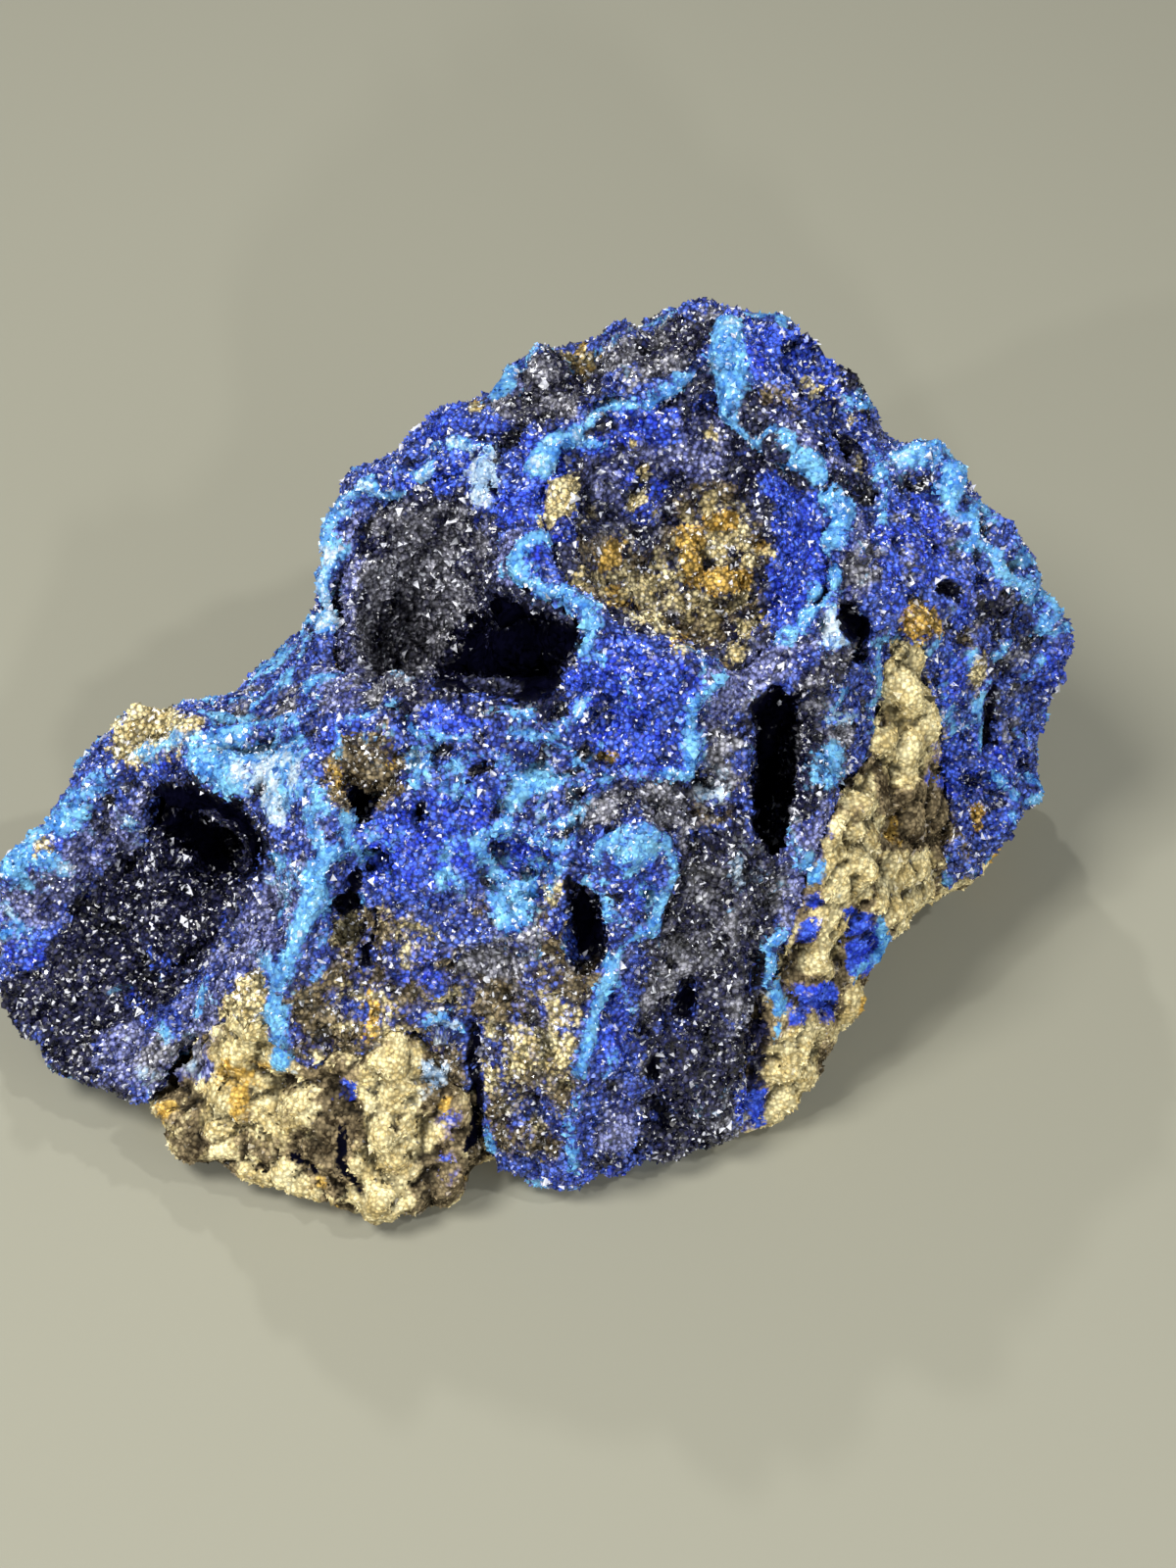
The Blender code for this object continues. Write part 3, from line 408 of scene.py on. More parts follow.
            490, 1030)),
    )),
    ("royal", (
        (0.45, 8, (395, 950, 440, 960, 470, 1010, 465, 1050, 410, 1040)),
        (0.45, 8, (510, 1090, 560, 1100, 570, 1150, 520, 1140)),
    )),
    ("cream", (
        (1.0, 4, (114, 768, 118, 738, 146, 722, 188, 724, 210, 738, 204, 762, 168, 776, 132, 786)),
        (1.0, 4, (32, 858, 42, 846, 58, 848, 54, 864, 38, 870)),
        (1.0, 4, (555, 498, 566, 484, 584, 482, 590, 500, 578, 522, 566, 540, 553, 534)),
        (1.0, 3, (712, 506, 730, 504, 732, 522, 714, 526)),
        (1.0, 3, (760, 548, 782, 545, 787, 563, 766, 569)),
        (0.9, 3, (649, 477, 662, 477, 663, 494, 649, 494)),
        (0.9, 3, (640, 503, 658, 500, 660, 519, 641, 522)),
        (0.8, 3, (583, 582, 601, 580, 603, 599, 585, 600)),
        (0.9, 3, (751, 634, 769, 630, 773, 650, 755, 654)),
        (0.8, 3, (737, 661, 755, 654, 760, 673, 742, 680)),
        (0.8, 3, (768, 620, 784, 618, 786, 638, 770, 642)),
        (0.9, 3, (640, 442, 650, 442, 650, 455, 640, 455)),
        (0.9, 3, (716, 436, 730, 434, 730, 449, 717, 450)),
        (0.9, 3, (810, 396, 824, 396, 825, 408, 811, 410)),
        (0.9, 3, (838, 406, 850, 406, 850, 419, 839, 420)),
        (0.9, 3, (852, 421, 864, 421, 866, 437, 853, 438)),
        (0.9, 3, (870, 464, 884, 464, 885, 479, 871, 480)),
        (1.0, 8, (912, 655, 945, 650, 948, 700, 945, 735, 960, 748, 938, 790, 925, 815, 902, 770,
            905, 700)),
        (0.9, 8, (858, 800, 895, 780, 900, 830, 905, 845, 880, 850, 852, 830)),
        (0.9, 8, (840, 850, 870, 850, 905, 872, 950, 870, 955, 925, 915, 940, 900, 960, 885, 930,
            890, 905, 862, 895, 835, 880)),
        (0.9, 6, (812, 960, 835, 955, 850, 935, 855, 975, 835, 1000, 815, 990)),
        (1.0, 5, (865, 1000, 880, 990, 885, 1010, 872, 1055, 845, 1068, 848, 1045, 860, 1030)),
        (1.0, 6, (795, 1060, 830, 1035, 840, 1060, 835, 1090, 820, 1125, 800, 1145, 780, 1135,
            785, 1100)),
        (1.0, 6, (252, 995, 285, 1000, 278, 1030, 286, 1078, 220, 1080, 225, 1040, 240, 1010)),
        (1.0, 7, (408, 1062, 425, 1080, 425, 1110, 400, 1150, 378, 1185, 372, 1140, 385, 1090,
            395, 1075)),
        (0.8, 12, (215, 1105, 320, 1100, 325, 1160, 290, 1170, 230, 1170, 195, 1150)),
        (0.8, 12, (340, 1180, 440, 1150, 430, 1220, 400, 1265, 372, 1275, 355, 1220)),
        (0.8, 6, (550, 900, 575, 885, 580, 905, 560, 926)),
        (0.8, 5, (990, 680, 1008, 665, 1008, 700, 992, 710)),
        (0.7, 5, (645, 1190, 660, 1190, 655, 1200, 640, 1200)),
        (0.5, 10, (770, 640, 745, 660, 735, 675, 755, 675, 775, 655)),
    )),
    ("brown", (
        (0.85, 6, (154, 1136, 176, 1128, 205, 1160, 250, 1190, 262, 1215, 232, 1222, 180, 1200)),
        (0.8, 6, (322, 1150, 345, 1120, 362, 1150, 352, 1215, 332, 1200)),
    )),
    ("ochre", (
        (0.6, 5, (152, 1122, 178, 1112, 188, 1130, 165, 1142)),
        (1.0, 5, (930, 612, 950, 615, 955, 640, 942, 655, 920, 645)),
        (1.0, 4, (690, 534, 714, 532, 718, 560, 716, 594, 697, 596, 689, 565)),
        (0.8, 3, (611, 556, 634, 554, 636, 575, 613, 577)),
        (0.7, 3, (617, 590, 638, 590, 638, 607, 619, 609)),
        (0.9, 3, (687, 644, 703, 644, 703, 659, 689, 660)),
        (0.6, 3, (614, 606, 651, 608, 655, 622, 618, 620)),
        (1.0, 4, (712, 520, 735, 518, 753, 525, 749, 540, 720, 542)),
        (0.85, 5, (712, 575, 742, 571, 766, 582, 764, 602, 742, 610, 715, 602)),
        (0.9, 4, (616, 764, 628, 765, 626, 776, 617, 776)),
        (0.9, 4, (342, 782, 353, 780, 354, 812, 345, 814)),
        (0.6, 4, (394, 760, 410, 762, 408, 790, 398, 786)),
    )),
    ("pale", (
        (0.9, 3, (426, 758, 436, 758, 438, 778, 429, 780)),
    )),
    ("ochre", (
        (0.8, 5, (372, 1005, 382, 1005, 378, 1065, 366, 1065)),
        (0.8, 5, (262, 1080, 290, 1080, 288, 1095, 268, 1095)),
        (0.7, 8, (230, 1110, 255, 1110, 255, 1140, 235, 1140)),
        (0.8, 5, (452, 1120, 468, 1120, 465, 1140, 452, 1138)),
        (0.8, 5, (992, 822, 1006, 822, 1003, 845, 995, 845)),
        (0.7, 5, (820, 900, 840, 895, 838, 905, 822, 915)),
        (0.5, 6, (765, 545, 785, 545, 780, 565, 765, 565)),
        (0.7, 6, (315, 1195, 340, 1195, 335, 1215, 320, 1215)),
    )),
    ("light", (
        (0.3, 14, (345, 745, 480, 738, 600, 795, 600, 900, 560, 930, 480, 930, 400, 900, 370, 860,
            425, 800)),
        (0.9, 3, (893, 938, 906, 950, 904, 976, 893, 972)),
        (1.0, 3, (780, 950, 790, 948, 796, 1000, 800, 1035, 789, 1035, 783, 1000)),
        (0.6, 12, (190, 755, 310, 750, 330, 845, 268, 838, 232, 812, 200, 795)),
        (0.8, 8, (728, 335, 760, 332, 762, 385, 735, 390)),
        (0.6, 8, (905, 460, 962, 458, 960, 492, 910, 492)),
        (0.6, 8, (825, 765, 865, 760, 862, 800, 835, 800)),
        (0.5, 8, (700, 1110, 740, 1105, 735, 1135, 708, 1135)),
        (0.7, 8, (490, 890, 545, 905, 540, 945, 510, 950, 488, 910)),
        (0.5, 6, (614, 862, 655, 848, 674, 862, 668, 925, 650, 915, 634, 892)),
        (0.4, 12, (325, 520, 350, 505, 345, 640, 325, 650)),
    )),
    ("pale", (
        (0.8, 5, (262, 806, 282, 812, 292, 838, 276, 842, 262, 826)),
        (0.35, 10, (215, 762, 300, 756, 325, 800, 300, 830, 240, 800)),
        (0.8, 4, (836, 618, 852, 616, 856, 648, 838, 652)),
        (0.6, 6, (485, 462, 505, 460, 512, 480, 490, 515, 480, 500)),
        (0.5, 8, (430, 1075, 470, 1085, 465, 1110, 430, 1130)),
        (0.6, 5, (300, 1090, 315, 1092, 312, 1105, 300, 1105)),
        (0.5, 8, (715, 790, 745, 785, 750, 820, 720, 815)),
        (0.4, 8, (440, 1030, 475, 1035, 475, 1058, 440, 1055)),
        (0.4, 10, (745, 860, 790, 860, 785, 905, 745, 905)),
    )),
)

# Holes painted near black as shade: soft edge in pixels, outline.
HOLES = (
    (6, (155, 808, 165, 798, 200, 797, 230, 812, 262, 833, 273, 860, 266, 888, 240, 897, 205, 880,
        190, 862, 162, 847, 152, 825)),
    (6, (440, 700, 462, 665, 482, 640, 502, 608, 530, 612, 560, 626, 602, 648, 586, 668, 572, 680,
        570, 705, 540, 714, 500, 712, 470, 706)),
    (5, (766, 716, 785, 702, 808, 700, 824, 704, 812, 724, 800, 742, 796, 790, 782, 845, 764, 848,
        770, 780)),
    (4, (856, 628, 874, 622, 887, 634, 884, 652, 868, 660, 856, 648)),
    (4, (577, 886, 600, 905, 616, 935, 618, 960, 604, 978, 590, 968, 590, 945, 578, 925)),
    (3, (357, 805, 375, 803, 382, 818, 370, 832, 356, 826)),
    (3, (424, 820, 436, 818, 440, 830, 430, 836)),
    (4, (700, 1005, 715, 1010, 712, 1032, 695, 1036, 690, 1022)),
    (4, (662, 1072, 676, 1072, 672, 1098, 660, 1100)),
    (4, (476, 1052, 490, 1052, 492, 1110, 488, 1172, 478, 1172, 480, 1110)),
    (3, (1014, 690, 1022, 692, 1016, 730, 1016, 762, 1008, 760, 1008, 720)),
    (3, (955, 598, 972, 594, 978, 602, 960, 606)),
    (3, (352, 886, 374, 888, 368, 902, 356, 925, 348, 915)),
)

# Fields that shape and colour both follow. Ridges have a size and a shift, noise a size, layers and a shift.
BOXWORK = (3.4, 6.0)
CRACKS = (1.9, 14.0)
PATCHY = (2.2, 3, 47.0)
THREAD = (1.3, 3, 83.0)

# Random pieces of the noise fields.
TABLE_SIZE = 32
RNG = np.random.default_rng(SEED)
VALUE_TABLE = RNG.random((TABLE_SIZE, TABLE_SIZE, TABLE_SIZE))
JITTER_TABLE = RNG.random((TABLE_SIZE, TABLE_SIZE, TABLE_SIZE, 3))


def smoothstep(low, high, values):
    t = np.clip((values - low) / (high - low), 0.0, 1.0)
    return t * t * (3.0 - 2.0 * t)


def value_noise(points, size, shift=0.0):
    """Smooth noise between 0 and 1 with features of the given size."""
    place = points / size + shift
    cell = np.floor(place).astype(int)
    part = place - cell
    part = part * part * (3.0 - 2.0 * part)
    total = np.zeros(len(points))
    for corner in range(8):
        step = np.array((corner & 1, corner >> 1 & 1, corner >> 2 & 1))
        index = (cell + step) % TABLE_SIZE
        weight = np.prod(np.where(step == 1, part, 1.0 - part), axis=1)
        total += weight * VALUE_TABLE[index[:, 0], index[:, 1], index[:, 2]]
    return total


def layered_noise(points, size, layers, shift=0.0):
    """Noise between about -1 and 1 with finer layers added."""
    total = np.zeros(len(points))
    strength = 1.0
    full = 0.0
    for layer in range(layers):
        total += strength * (value_noise(points, size, shift + 7.3 * layer) * 2.0 - 1.0)
        full += strength
        size *= 0.5
        strength *= 0.55
    return total / full


def centre_distances(place):
    """Squared distances of places to the centres of the cells around them, one of the 27 cells at a time."""
    cell = np.floor(place).astype(int)
    for step in np.ndindex(3, 3, 3):
        near = cell + step - 1
        index = near % TABLE_SIZE
        centre = near + JITTER_TABLE[index[:, 0], index[:, 1], index[:, 2]]
        yield ((place - centre) ** 2).sum(1)


def knob_field(points, size, shift=0.0):
    """Rounded knobs of the given size: 1 at a knob's top and 0 between knobs."""
    nearest = np.full(len(points), 9.0)
    for squared in centre_distances(points / size + shift):
        nearest = np.minimum(nearest, squared)
    return np.clip(1.0 - nearest / 0.64, 0.0, 1.0)


def cell_ridges(points, size, shift=0.0):
    """Ridges between irregular cells of the given size: 1 on a ridge, falling to 0 inside a cell."""
    bend = np.stack([layered_noise(points, size * 0.8, 2, shift + 5.0 * k) for k in range(3)], axis=1)
    first = np.full(len(points), 9.0)
    second = np.full(len(points), 9.0)
    for squared in centre_distances(points / size + 0.22 * bend + shift):
        distance = np.sqrt(squared)
        second = np.minimum(second, np.maximum(first, distance))
        first = np.minimum(first, distance)
    return np.exp(-(((second - first) / 0.13) ** 2))


def project(points):
    """Picture pixels of points in millimetres."""
    offset = points - CAMERA_PLACE
    depth = -(offset @ CAMERA_BACK)
    u = FRAME_WIDTH / 2 + FOCAL_PIXELS * (offset @ CAMERA_RIGHT) / depth
    v = FRAME_HEIGHT / 2 - FOCAL_PIXELS * (offset @ CAMERA_UP) / depth
    return np.stack((u, v), axis=1)


def pixel_ray(u, v):
    x = (u - FRAME_WIDTH / 2) / FOCAL_PIXELS
    y = (FRAME_HEIGHT / 2 - v) / FOCAL_PIXELS
    return Vector(CAMERA_RIGHT * x + CAMERA_UP * y - CAMERA_BACK).normalized()


def points_of(mesh):
    co = np.empty(len(mesh.vertices) * 3, np.float32)
    mesh.vertices.foreach_get("co", co)
    return co.reshape(-1, 3).astype(float)


def normals_of(mesh):
    no = np.empty(len(mesh.vertices) * 3, np.float32)
    mesh.vertex_normals.foreach_get("vector", no)
    return no.reshape(-1, 3).astype(float)


def set_points(mesh, points):
    mesh.vertices.foreach_set("co", points.astype(np.float32).ravel())
    mesh.update()


def edges_of(mesh):
    pairs = np.empty(len(mesh.edges) * 2, np.int32)
    mesh.edges.foreach_get("vertices", pairs)
    return pairs.reshape(-1, 2)


def triangles_of(mesh):
    mesh.calc_loop_triangles()
    tris = np.empty(len(mesh.loop_triangles) * 3, np.int32)
    mesh.loop_triangles.foreach_get("vertices", tris)
    return tris.reshape(-1, 3)


def spread(values, pairs, rounds):
    """Values averaged with their neighbours along the mesh's edges."""
    size = len(values)
    count = np.maximum(np.bincount(pairs.ravel(), minlength=size), 1)
    columns = values.reshape(size, -1)
    for _ in range(rounds):
        total = np.empty_like(columns)
        for k in range(columns.shape[1]):
            total[:, k] = np.bincount(pairs[:, 0], columns[pairs[:, 1], k], size)
            total[:, k] += np.bincount(pairs[:, 1], columns[pairs[:, 0], k], size)
        columns = 0.5 * columns + 0.5 * total / count[:, None]
    return columns.reshape(values.shape)


def link(obj):
    bpy.context.scene.collection.objects.link(obj)
    return obj


def clean_copy(node):
    """The node's mesh in millimetres, with the points that the file format split joined again."""
    mesh = node.data.copy()
    set_points(mesh, points_of(mesh) / MM)
    bm = bmesh.new()
    bm.from_mesh(mesh)
    bmesh.ops.remove_doubles(bm, verts=bm.verts, dist=0.0005)
    bm.to_mesh(mesh)
    bm.free()
    mesh.update()
    return mesh


def remeshed(mesh, voxel):
    """The mesh rebuilt from even small faces."""
    obj = link(bpy.data.objects.new("remesh_work", mesh))
    modifier = obj.modifiers.new("remesh", "REMESH")
    modifier.mode = "VOXEL"
    modifier.voxel_size = voxel
    graph = bpy.context.evaluated_depsgraph_get()
    made = bpy.data.meshes.new_from_object(obj.evaluated_get(graph))
    bpy.data.objects.remove(obj)
    return made


def solid_tree(meshes):
    """One ray tree over several meshes."""
    points = []
    faces = []
    for mesh in meshes:
        first = len(points)
        points.extend(Vector(p) for p in points_of(mesh))
        faces.extend(tuple(int(i) + first for i in t) for t in triangles_of(mesh))
    return BVHTree.FromPolygons(points, faces)


def line_pixels(points, step):
    """Pixels along a line, a step apart."""
    corners = list(zip(points[::2], points[1::2]))
    made = []
    for a, b in zip(corners[:-1], corners[1:]):
        length = math.dist(a, b)
        for k in range(max(1, int(length / step))):
            t = k * step / max(length, 1e-6)
            made.append((a[0] + (b[0] - a[0]) * t, a[1] + (b[1] - a[1]) * t))
    made.append(corners[-1])
    return made


def cast_line(tree, points, reach):
    """Places on the stone under a drawn line, each the nearest to the camera within reach."""
    origin = Vector(CAMERA_PLACE)
    made = []
    for u, v in line_pixels(points, LINE_STEP):
        best = None
        for du, dv in ((0, 0), (reach, 0), (-reach, 0), (0, reach), (0, -reach)):
            place, _, _, distance = tree.ray_cast(origin, pixel_ray(u + du, v + dv))
            if place is None:
                continue
            if best is None or distance < best[1] - 1.0:
                best = (place, distance)
        if best is not None:
            made.append(best[0])
    return made


def nearest_distance(places, points):
    """Distance of every point to the nearest of the places."""
    if not places:
        return np.full(len(points), 99.0)
    targets = np.array([tuple(p) for p in places])
    best = np.full(len(points), 9801.0)
    for target in targets:
        best = np.minimum(best, ((points - target) ** 2).sum(1))
    return np.sqrt(best)


def outline_depth(outline, pixels):
    """How far inside an outline each pixel lies, negative outside."""
    corners = np.array(outline, float).reshape(-1, 2)
    inside = np.zeros(len(pixels), bool)
    best = np.full(len(pixels), 1e9)
    for a, b in zip(corners, np.roll(corners, -1, axis=0)):
        along = b - a
        offset = pixels - a
        t = np.clip(offset @ along / max(along @ along, 1e-9), 0.0, 1.0)
        best = np.minimum(best, ((offset - t[:, None] * along) ** 2).sum(1))
        crosses = (a[1] > pixels[:, 1]) != (b[1] > pixels[:, 1])
        rise = along[1] if abs(along[1]) > 1e-9 else 1e-9
        inside ^= crosses & (pixels[:, 0] < a[0] + along[0] * (pixels[:, 1] - a[1]) / rise)
    return np.where(inside, 1.0, -1.0) * np.sqrt(best)


def seen_by_camera(tree, points, slack):
    """True for each point that nothing hides from the picture's camera."""
    origin = Vector(CAMERA_PLACE)
    seen = np.zeros(len(points), bool)
    for k, point in enumerate(points):
        ray = Vector(point) - origin
        length = ray.length
        hit = tree.ray_cast(origin, ray / length, length - slack)
        seen[k] = hit[0] is None
    return seen


def enclosure(tree, points, normals, reach):
    """Share of directions above the surface that the stone closes within reach."""
    rays = 9
    turn = math.pi * (3.0 - math.sqrt(5.0))
    closed = np.zeros(len(points))
    for k, (point, normal) in enumerate(zip(points, normals)):
        n = Vector(normal)
        if n.length < 0.5:
            continue
        side = n.orthogonal().normalized()
        other = n.cross(side)
        origin = Vector(point) + n * 0.6
        hits = 0
        for r in range(rays):
            rise = 0.25 + 0.7 * (r + 0.5) / rays
            flat = math.sqrt(1.0 - rise * rise)
            angle = r * turn
            ray = n * rise + side * (flat * math.cos(angle)) + other * (flat * math.sin(angle))
            if tree.ray_cast(origin, ray, reach)[0] is not None:
                hits += 1
        closed[k] = hits / rays
    return closed


def bell(places, points, width):
    """1 on the places, falling to 0 over the width."""
    return np.exp(-((nearest_distance(places, points) / width) ** 2))


def shape_skin(points, normals, pairs, node, lines, pits, knobs):
    """Fine relief on a skin: knobs, ridges between cells, raised light lines and sunk spots."""
    rough = layered_noise(points, 2.6, 4, 3.0)
    fine = layered_noise(points, 0.9, 2, 11.0)
    small = knob_field(points, 1.1, 9.0)
    if node == "limonite_rock":
        ragged = -layered_noise(points, *PATCHY) + 0.5 * layered_noise(points, *THREAD)
        hole = smoothstep(0.25, 0.6, ragged)
        crack = cell_ridges(points, *CRACKS)
        lift = 0.50 * rough + 0.35 * fine + 0.40 * knob_field(points, 2.1, 5.0)
        lift = lift - 0.45 * crack - 0.6 * hole - 0.05
    elif node.startswith("druse"):
        lift = 0.12 * rough + 0.14 * fine + 0.24 * small - 0.05
    else:
        broad = smoothstep(0.35, 0.65, value_noise(points, 7.0, 21.0))
        boxwork = cell_ridges(points, *BOXWORK) * (1.0 - 0.7 * broad)
        lift = 0.36 * rough + 0.18 * fine + (0.12 + 0.60 * broad) * knob_field(points, 2.4, 2.0)
        lift += 0.22 * small + 0.35 * boxwork - 0.42
    for half, height, _, _, places in lines:
        width = LINE_SHARE * half / PIXELS_PER_MM
        lift = lift + (height + 0.15 - 0.6 * lift) * bell(places, points, width)
    for half, height, places in knobs:
        distance = nearest_distance(places, points)
        lift += height * np.clip(1.0 - (distance / (half / PIXELS_PER_MM)) ** 2, 0.0, 1.0)
    for half, depth, places in pits:
        lift -= depth * bell(places, points, half / PIXELS_PER_MM)
    for half, height, places in OUTLINE_FORMS:
        lift += height * bell(places, points, half)
    lift = spread(lift, pairs, 1)
    return points + normals * lift[:, None]


def fade_others(zones, kept, near, share):
    """Takes a share of each zone away where near is high, apart from the kept zones."""
    for name in ZONES:
        if name not in kept:
            zones[name] *= 1.0 - share * near


def habit_zones(points, base, normals, pairs, node, seen, noise, tree):
    """Zone weights that follow from the shape and from chance."""
    zones = {name: np.zeros(len(points)) for name in ZONES}
    cloud, patchy, thread = noise["cloud"], noise["patchy"], noise["thread"]
    hidden = 1.0 - seen
    curve = ((points - spread(points, pairs, 14)) * normals).sum(1)
    curve = spread(curve, pairs, 1)
    dents = ((points - spread(points, pairs, 4)) * normals).sum(1)
    closed = spread(enclosure(tree, points, normals, 7.0), pairs, 3)

    convex = smoothstep(0.08, 0.30, curve + 0.06 * thread)
    concave = smoothstep(0.04, 0.26, -curve + 0.05 * thread)
    boxwork = cell_ridges(points, *BOXWORK) * smoothstep(-0.1, 0.3, cloud + 0.5 * thread)
    zones["light"] += convex * (0.35 + 0.2 * hidden) + 0.75 * boxwork
    # Painted shade in crevices and hollows. The dark zone there is partly the druse's own dark colour and
    # partly painted shade.
    crevice = smoothstep(0.015, 0.09, -dents)
    zones["shade"] += 0.75 * crevice + 0.35 * concave
    zones["dark"] += 0.75 * concave + 0.5 * crevice + smoothstep(0.25, 0.7, closed) * 0.8
    zones["violet"] += smoothstep(0.0, 0.5, cloud) * 0.5
    zones["royal"] += smoothstep(0.0, 0.4, -cloud) * 0.6
    zones["brown"] += smoothstep(0.2, 0.55, patchy) * (0.45 + 0.3 * hidden)
    zones["cream"] += smoothstep(0.30, 0.55, patchy - 0.4 * cloud) * 0.75 * hidden
    zones["ochre"] += smoothstep(0.45, 0.65, patchy + 0.3 * thread) * 0.6 * hidden
    if node == "limonite_rock":
        crack = cell_ridges(base, *CRACKS)
        wide = layered_noise(points, 5.0, 2, 37.0)
        spots = smoothstep(0.1, 0.4, layered_noise(points, 1.6, 2, 23.0))
        zones["cream"] += 0.55 + 1.6 * patchy + 1.2 * wide + 0.4 * convex - 0.5 * crack
        # Brown in the cracks and crevices, partly the rock's own staining and partly painted shade; the
        # shade weight in the cracks is painted shade.
        zones["brown"] += 0.40 - 1.2 * patchy - 1.0 * wide + 0.4 * crevice + 0.5 * crack
        zones["shade"] += 0.35 * crack
        zones["grey"] += 0.5 * spots * smoothstep(0.1, -0.2, patchy)
        zones["ochre"] += smoothstep(0.30, 0.55, layered_noise(points, 3.0, 2, 61.0)) * 0.75
        zones["royal"] *= 0.9 * smoothstep(0.1, 0.5, -patchy)
        zones["dark"] = 0.6 * zones["dark"] + 0.8 * smoothstep(0.3, 0.6, -patchy + 0.5 * thread)
        zones["violet"] *= 0.5
        zones["light"] *= 0.2
    if node.startswith("druse"):
        zones["dark"] += 0.5
        zones["cream"] *= 0.2
        zones["light"] *= 0.3
    return zones


def paint_patches(zones, points, pixels, seen, noise):
    """The colour patches, each with a ragged edge and a blotchy inside."""
    wander = np.stack([layered_noise(points, 3.4, 2, 91.0 + 4.0 * k) for k in range(2)], axis=1)
    warped = pixels + noise["warp"][:, :2] * 9.0 + wander * 8.0
    blotches = {name: layered_noise(points, 1.7, 2, 101.0 + 9.0 * k) for k, name in enumerate(ZONES)}
    for name, patches in PATCHES:
        for strength, soft, outline in patches:
            near = smoothstep(-1.3 * soft, 1.3 * soft, outline_depth(outline, warped)) * seen
            near *= np.clip(1.0 + (0.3 + 2.4 * (1.0 - strength)) * blotches[name], 0.0, 1.6)
            near = near * strength
            if name not in ("light", "pale", "grey"):
                fade_others(zones, (name, "shade"), near, PATCH_FADE)
            zones[name] = np.maximum(zones[name], near)


def paint_lines(zones, points, base, lines, noise):
    """The light lines, broken along their length."""
    bent = base + noise["warp"] * 0.2
    breaks = layered_noise(points, 2.4, 2, 57.0)
    for half, _, pale, strength, places in lines:
        near = 1.35 * strength * bell(places, bent, LINE_SHARE * half / PIXELS_PER_MM)
        ragged = 0.90 + 0.8 * noise["thread"] + 0.5 * (1.3 - strength) * breaks
        near = np.clip(near * ragged, 0.0, 1.0)
        zones["light"] = np.maximum(zones["light"], near)
        zones["pale"] = np.maximum(zones["pale"], near * pale)
        fade_others(zones, ("royal", "light", "pale", "deep"), near, LINE_FADE)


def paint_hole_shade(zones, base, pixels, seen, pits, noise):
    """Painted shade: near black in the sunk spots and in the holes."""
    depths = [bell(places, base, 1.1 * half / PIXELS_PER_MM) for half, _, places in pits]
    moved = pixels + noise["warp"][:, :2] * 8.0
    facing = smoothstep(0.3, 0.7, seen)
    depths += [smoothstep(-soft, soft, outline_depth(outline, moved)) * facing for soft, outline in HOLES]
    for near in depths:
        zones["deep"] = np.maximum(zones["deep"], near)
        fade_others(zones, ("deep",), near, HOLE_FADE)


def paint_streaks(zones, pixels, seen, noise):
    """The slanting streaks of the left lobe."""
    streak = pixels @ np.array(((0.78, 0.62), (-0.62, 0.78))) / np.array((26.0, 150.0))
    streak = layered_noise(np.column_stack((streak, np.zeros(len(pixels)))), 1.0, 3, 71.0)
    streaked = smoothstep(340.0, 270.0, pixels[:, 0]) * seen * (1.0 - zones["cream"])
    streaked = streaked * smoothstep(740.0, 850.0, pixels[:, 1])
    zones["light"] += 0.34 * streaked * smoothstep(0.2, 0.5, streak) * (1.0 - 0.7 * zones["dark"])
    zones["pale"] += 0.36 * streaked * smoothstep(0.3, 0.55, streak) * (1.0 - 0.7 * zones["dark"])
    zones["dark"] += 0.8 * streaked * smoothstep(0.05, 0.35, -streak)
    blue = smoothstep(0.1, 0.4, noise["cloud"])
    zones["royal"] += 0.7 * streaked * blue * smoothstep(0.0, 0.2, streak)


def weigh_zones(points, base, normals, pairs, node, lines, pits, tree):
    """The colour weights of a skin's points."""
    pixels = project(points)
    seen = spread(seen_by_camera(tree, points, 0.9).astype(float), pairs, 2)
    noise = {
        "cloud": layered_noise(points, 4.5, 3, 31.0),
        "patchy": layered_noise(points, *PATCHY),
        "thread": layered_noise(points, *THREAD),
        "warp": np.stack([layered_noise(points, 0.9, 2, 13.0 + 4.0 * k) for k in range(3)], axis=1),
    }
    zones = habit_zones(points, base, normals, pairs, node, seen, noise, tree)
    paint_patches(zones, points, pixels, seen, noise)
    paint_lines(zones, points, base, lines, noise)
    paint_hole_shade(zones, base, pixels, seen, pits, noise)
    paint_streaks(zones, pixels, seen, noise)
    for name in ZONES:
        zones[name] = np.clip(zones[name], 0.0, 1.0)
    zones["seen"] = seen
    return zones


def store(mesh, name, values):
    attribute = mesh.attributes.new(name, "FLOAT", "POINT")
    attribute.data.foreach_set("value", values.astype(np.float32))


def mesh_from_triangles(name, points, triangles):
    mesh = bpy.data.meshes.new(name)
    mesh.vertices.add(len(points))
    mesh.vertices.foreach_set("co", points.astype(np.float32).ravel())
    mesh.loops.add(len(triangles) * 3)
    mesh.loops.foreach_set("vertex_index", triangles.astype(np.int32).ravel())
    mesh.polygons.add(len(triangles))
    mesh.polygons.foreach_set("loop_start", np.arange(0, len(triangles) * 3, 3, dtype=np.int32))
    mesh.update()
    mesh.validate()
    return mesh


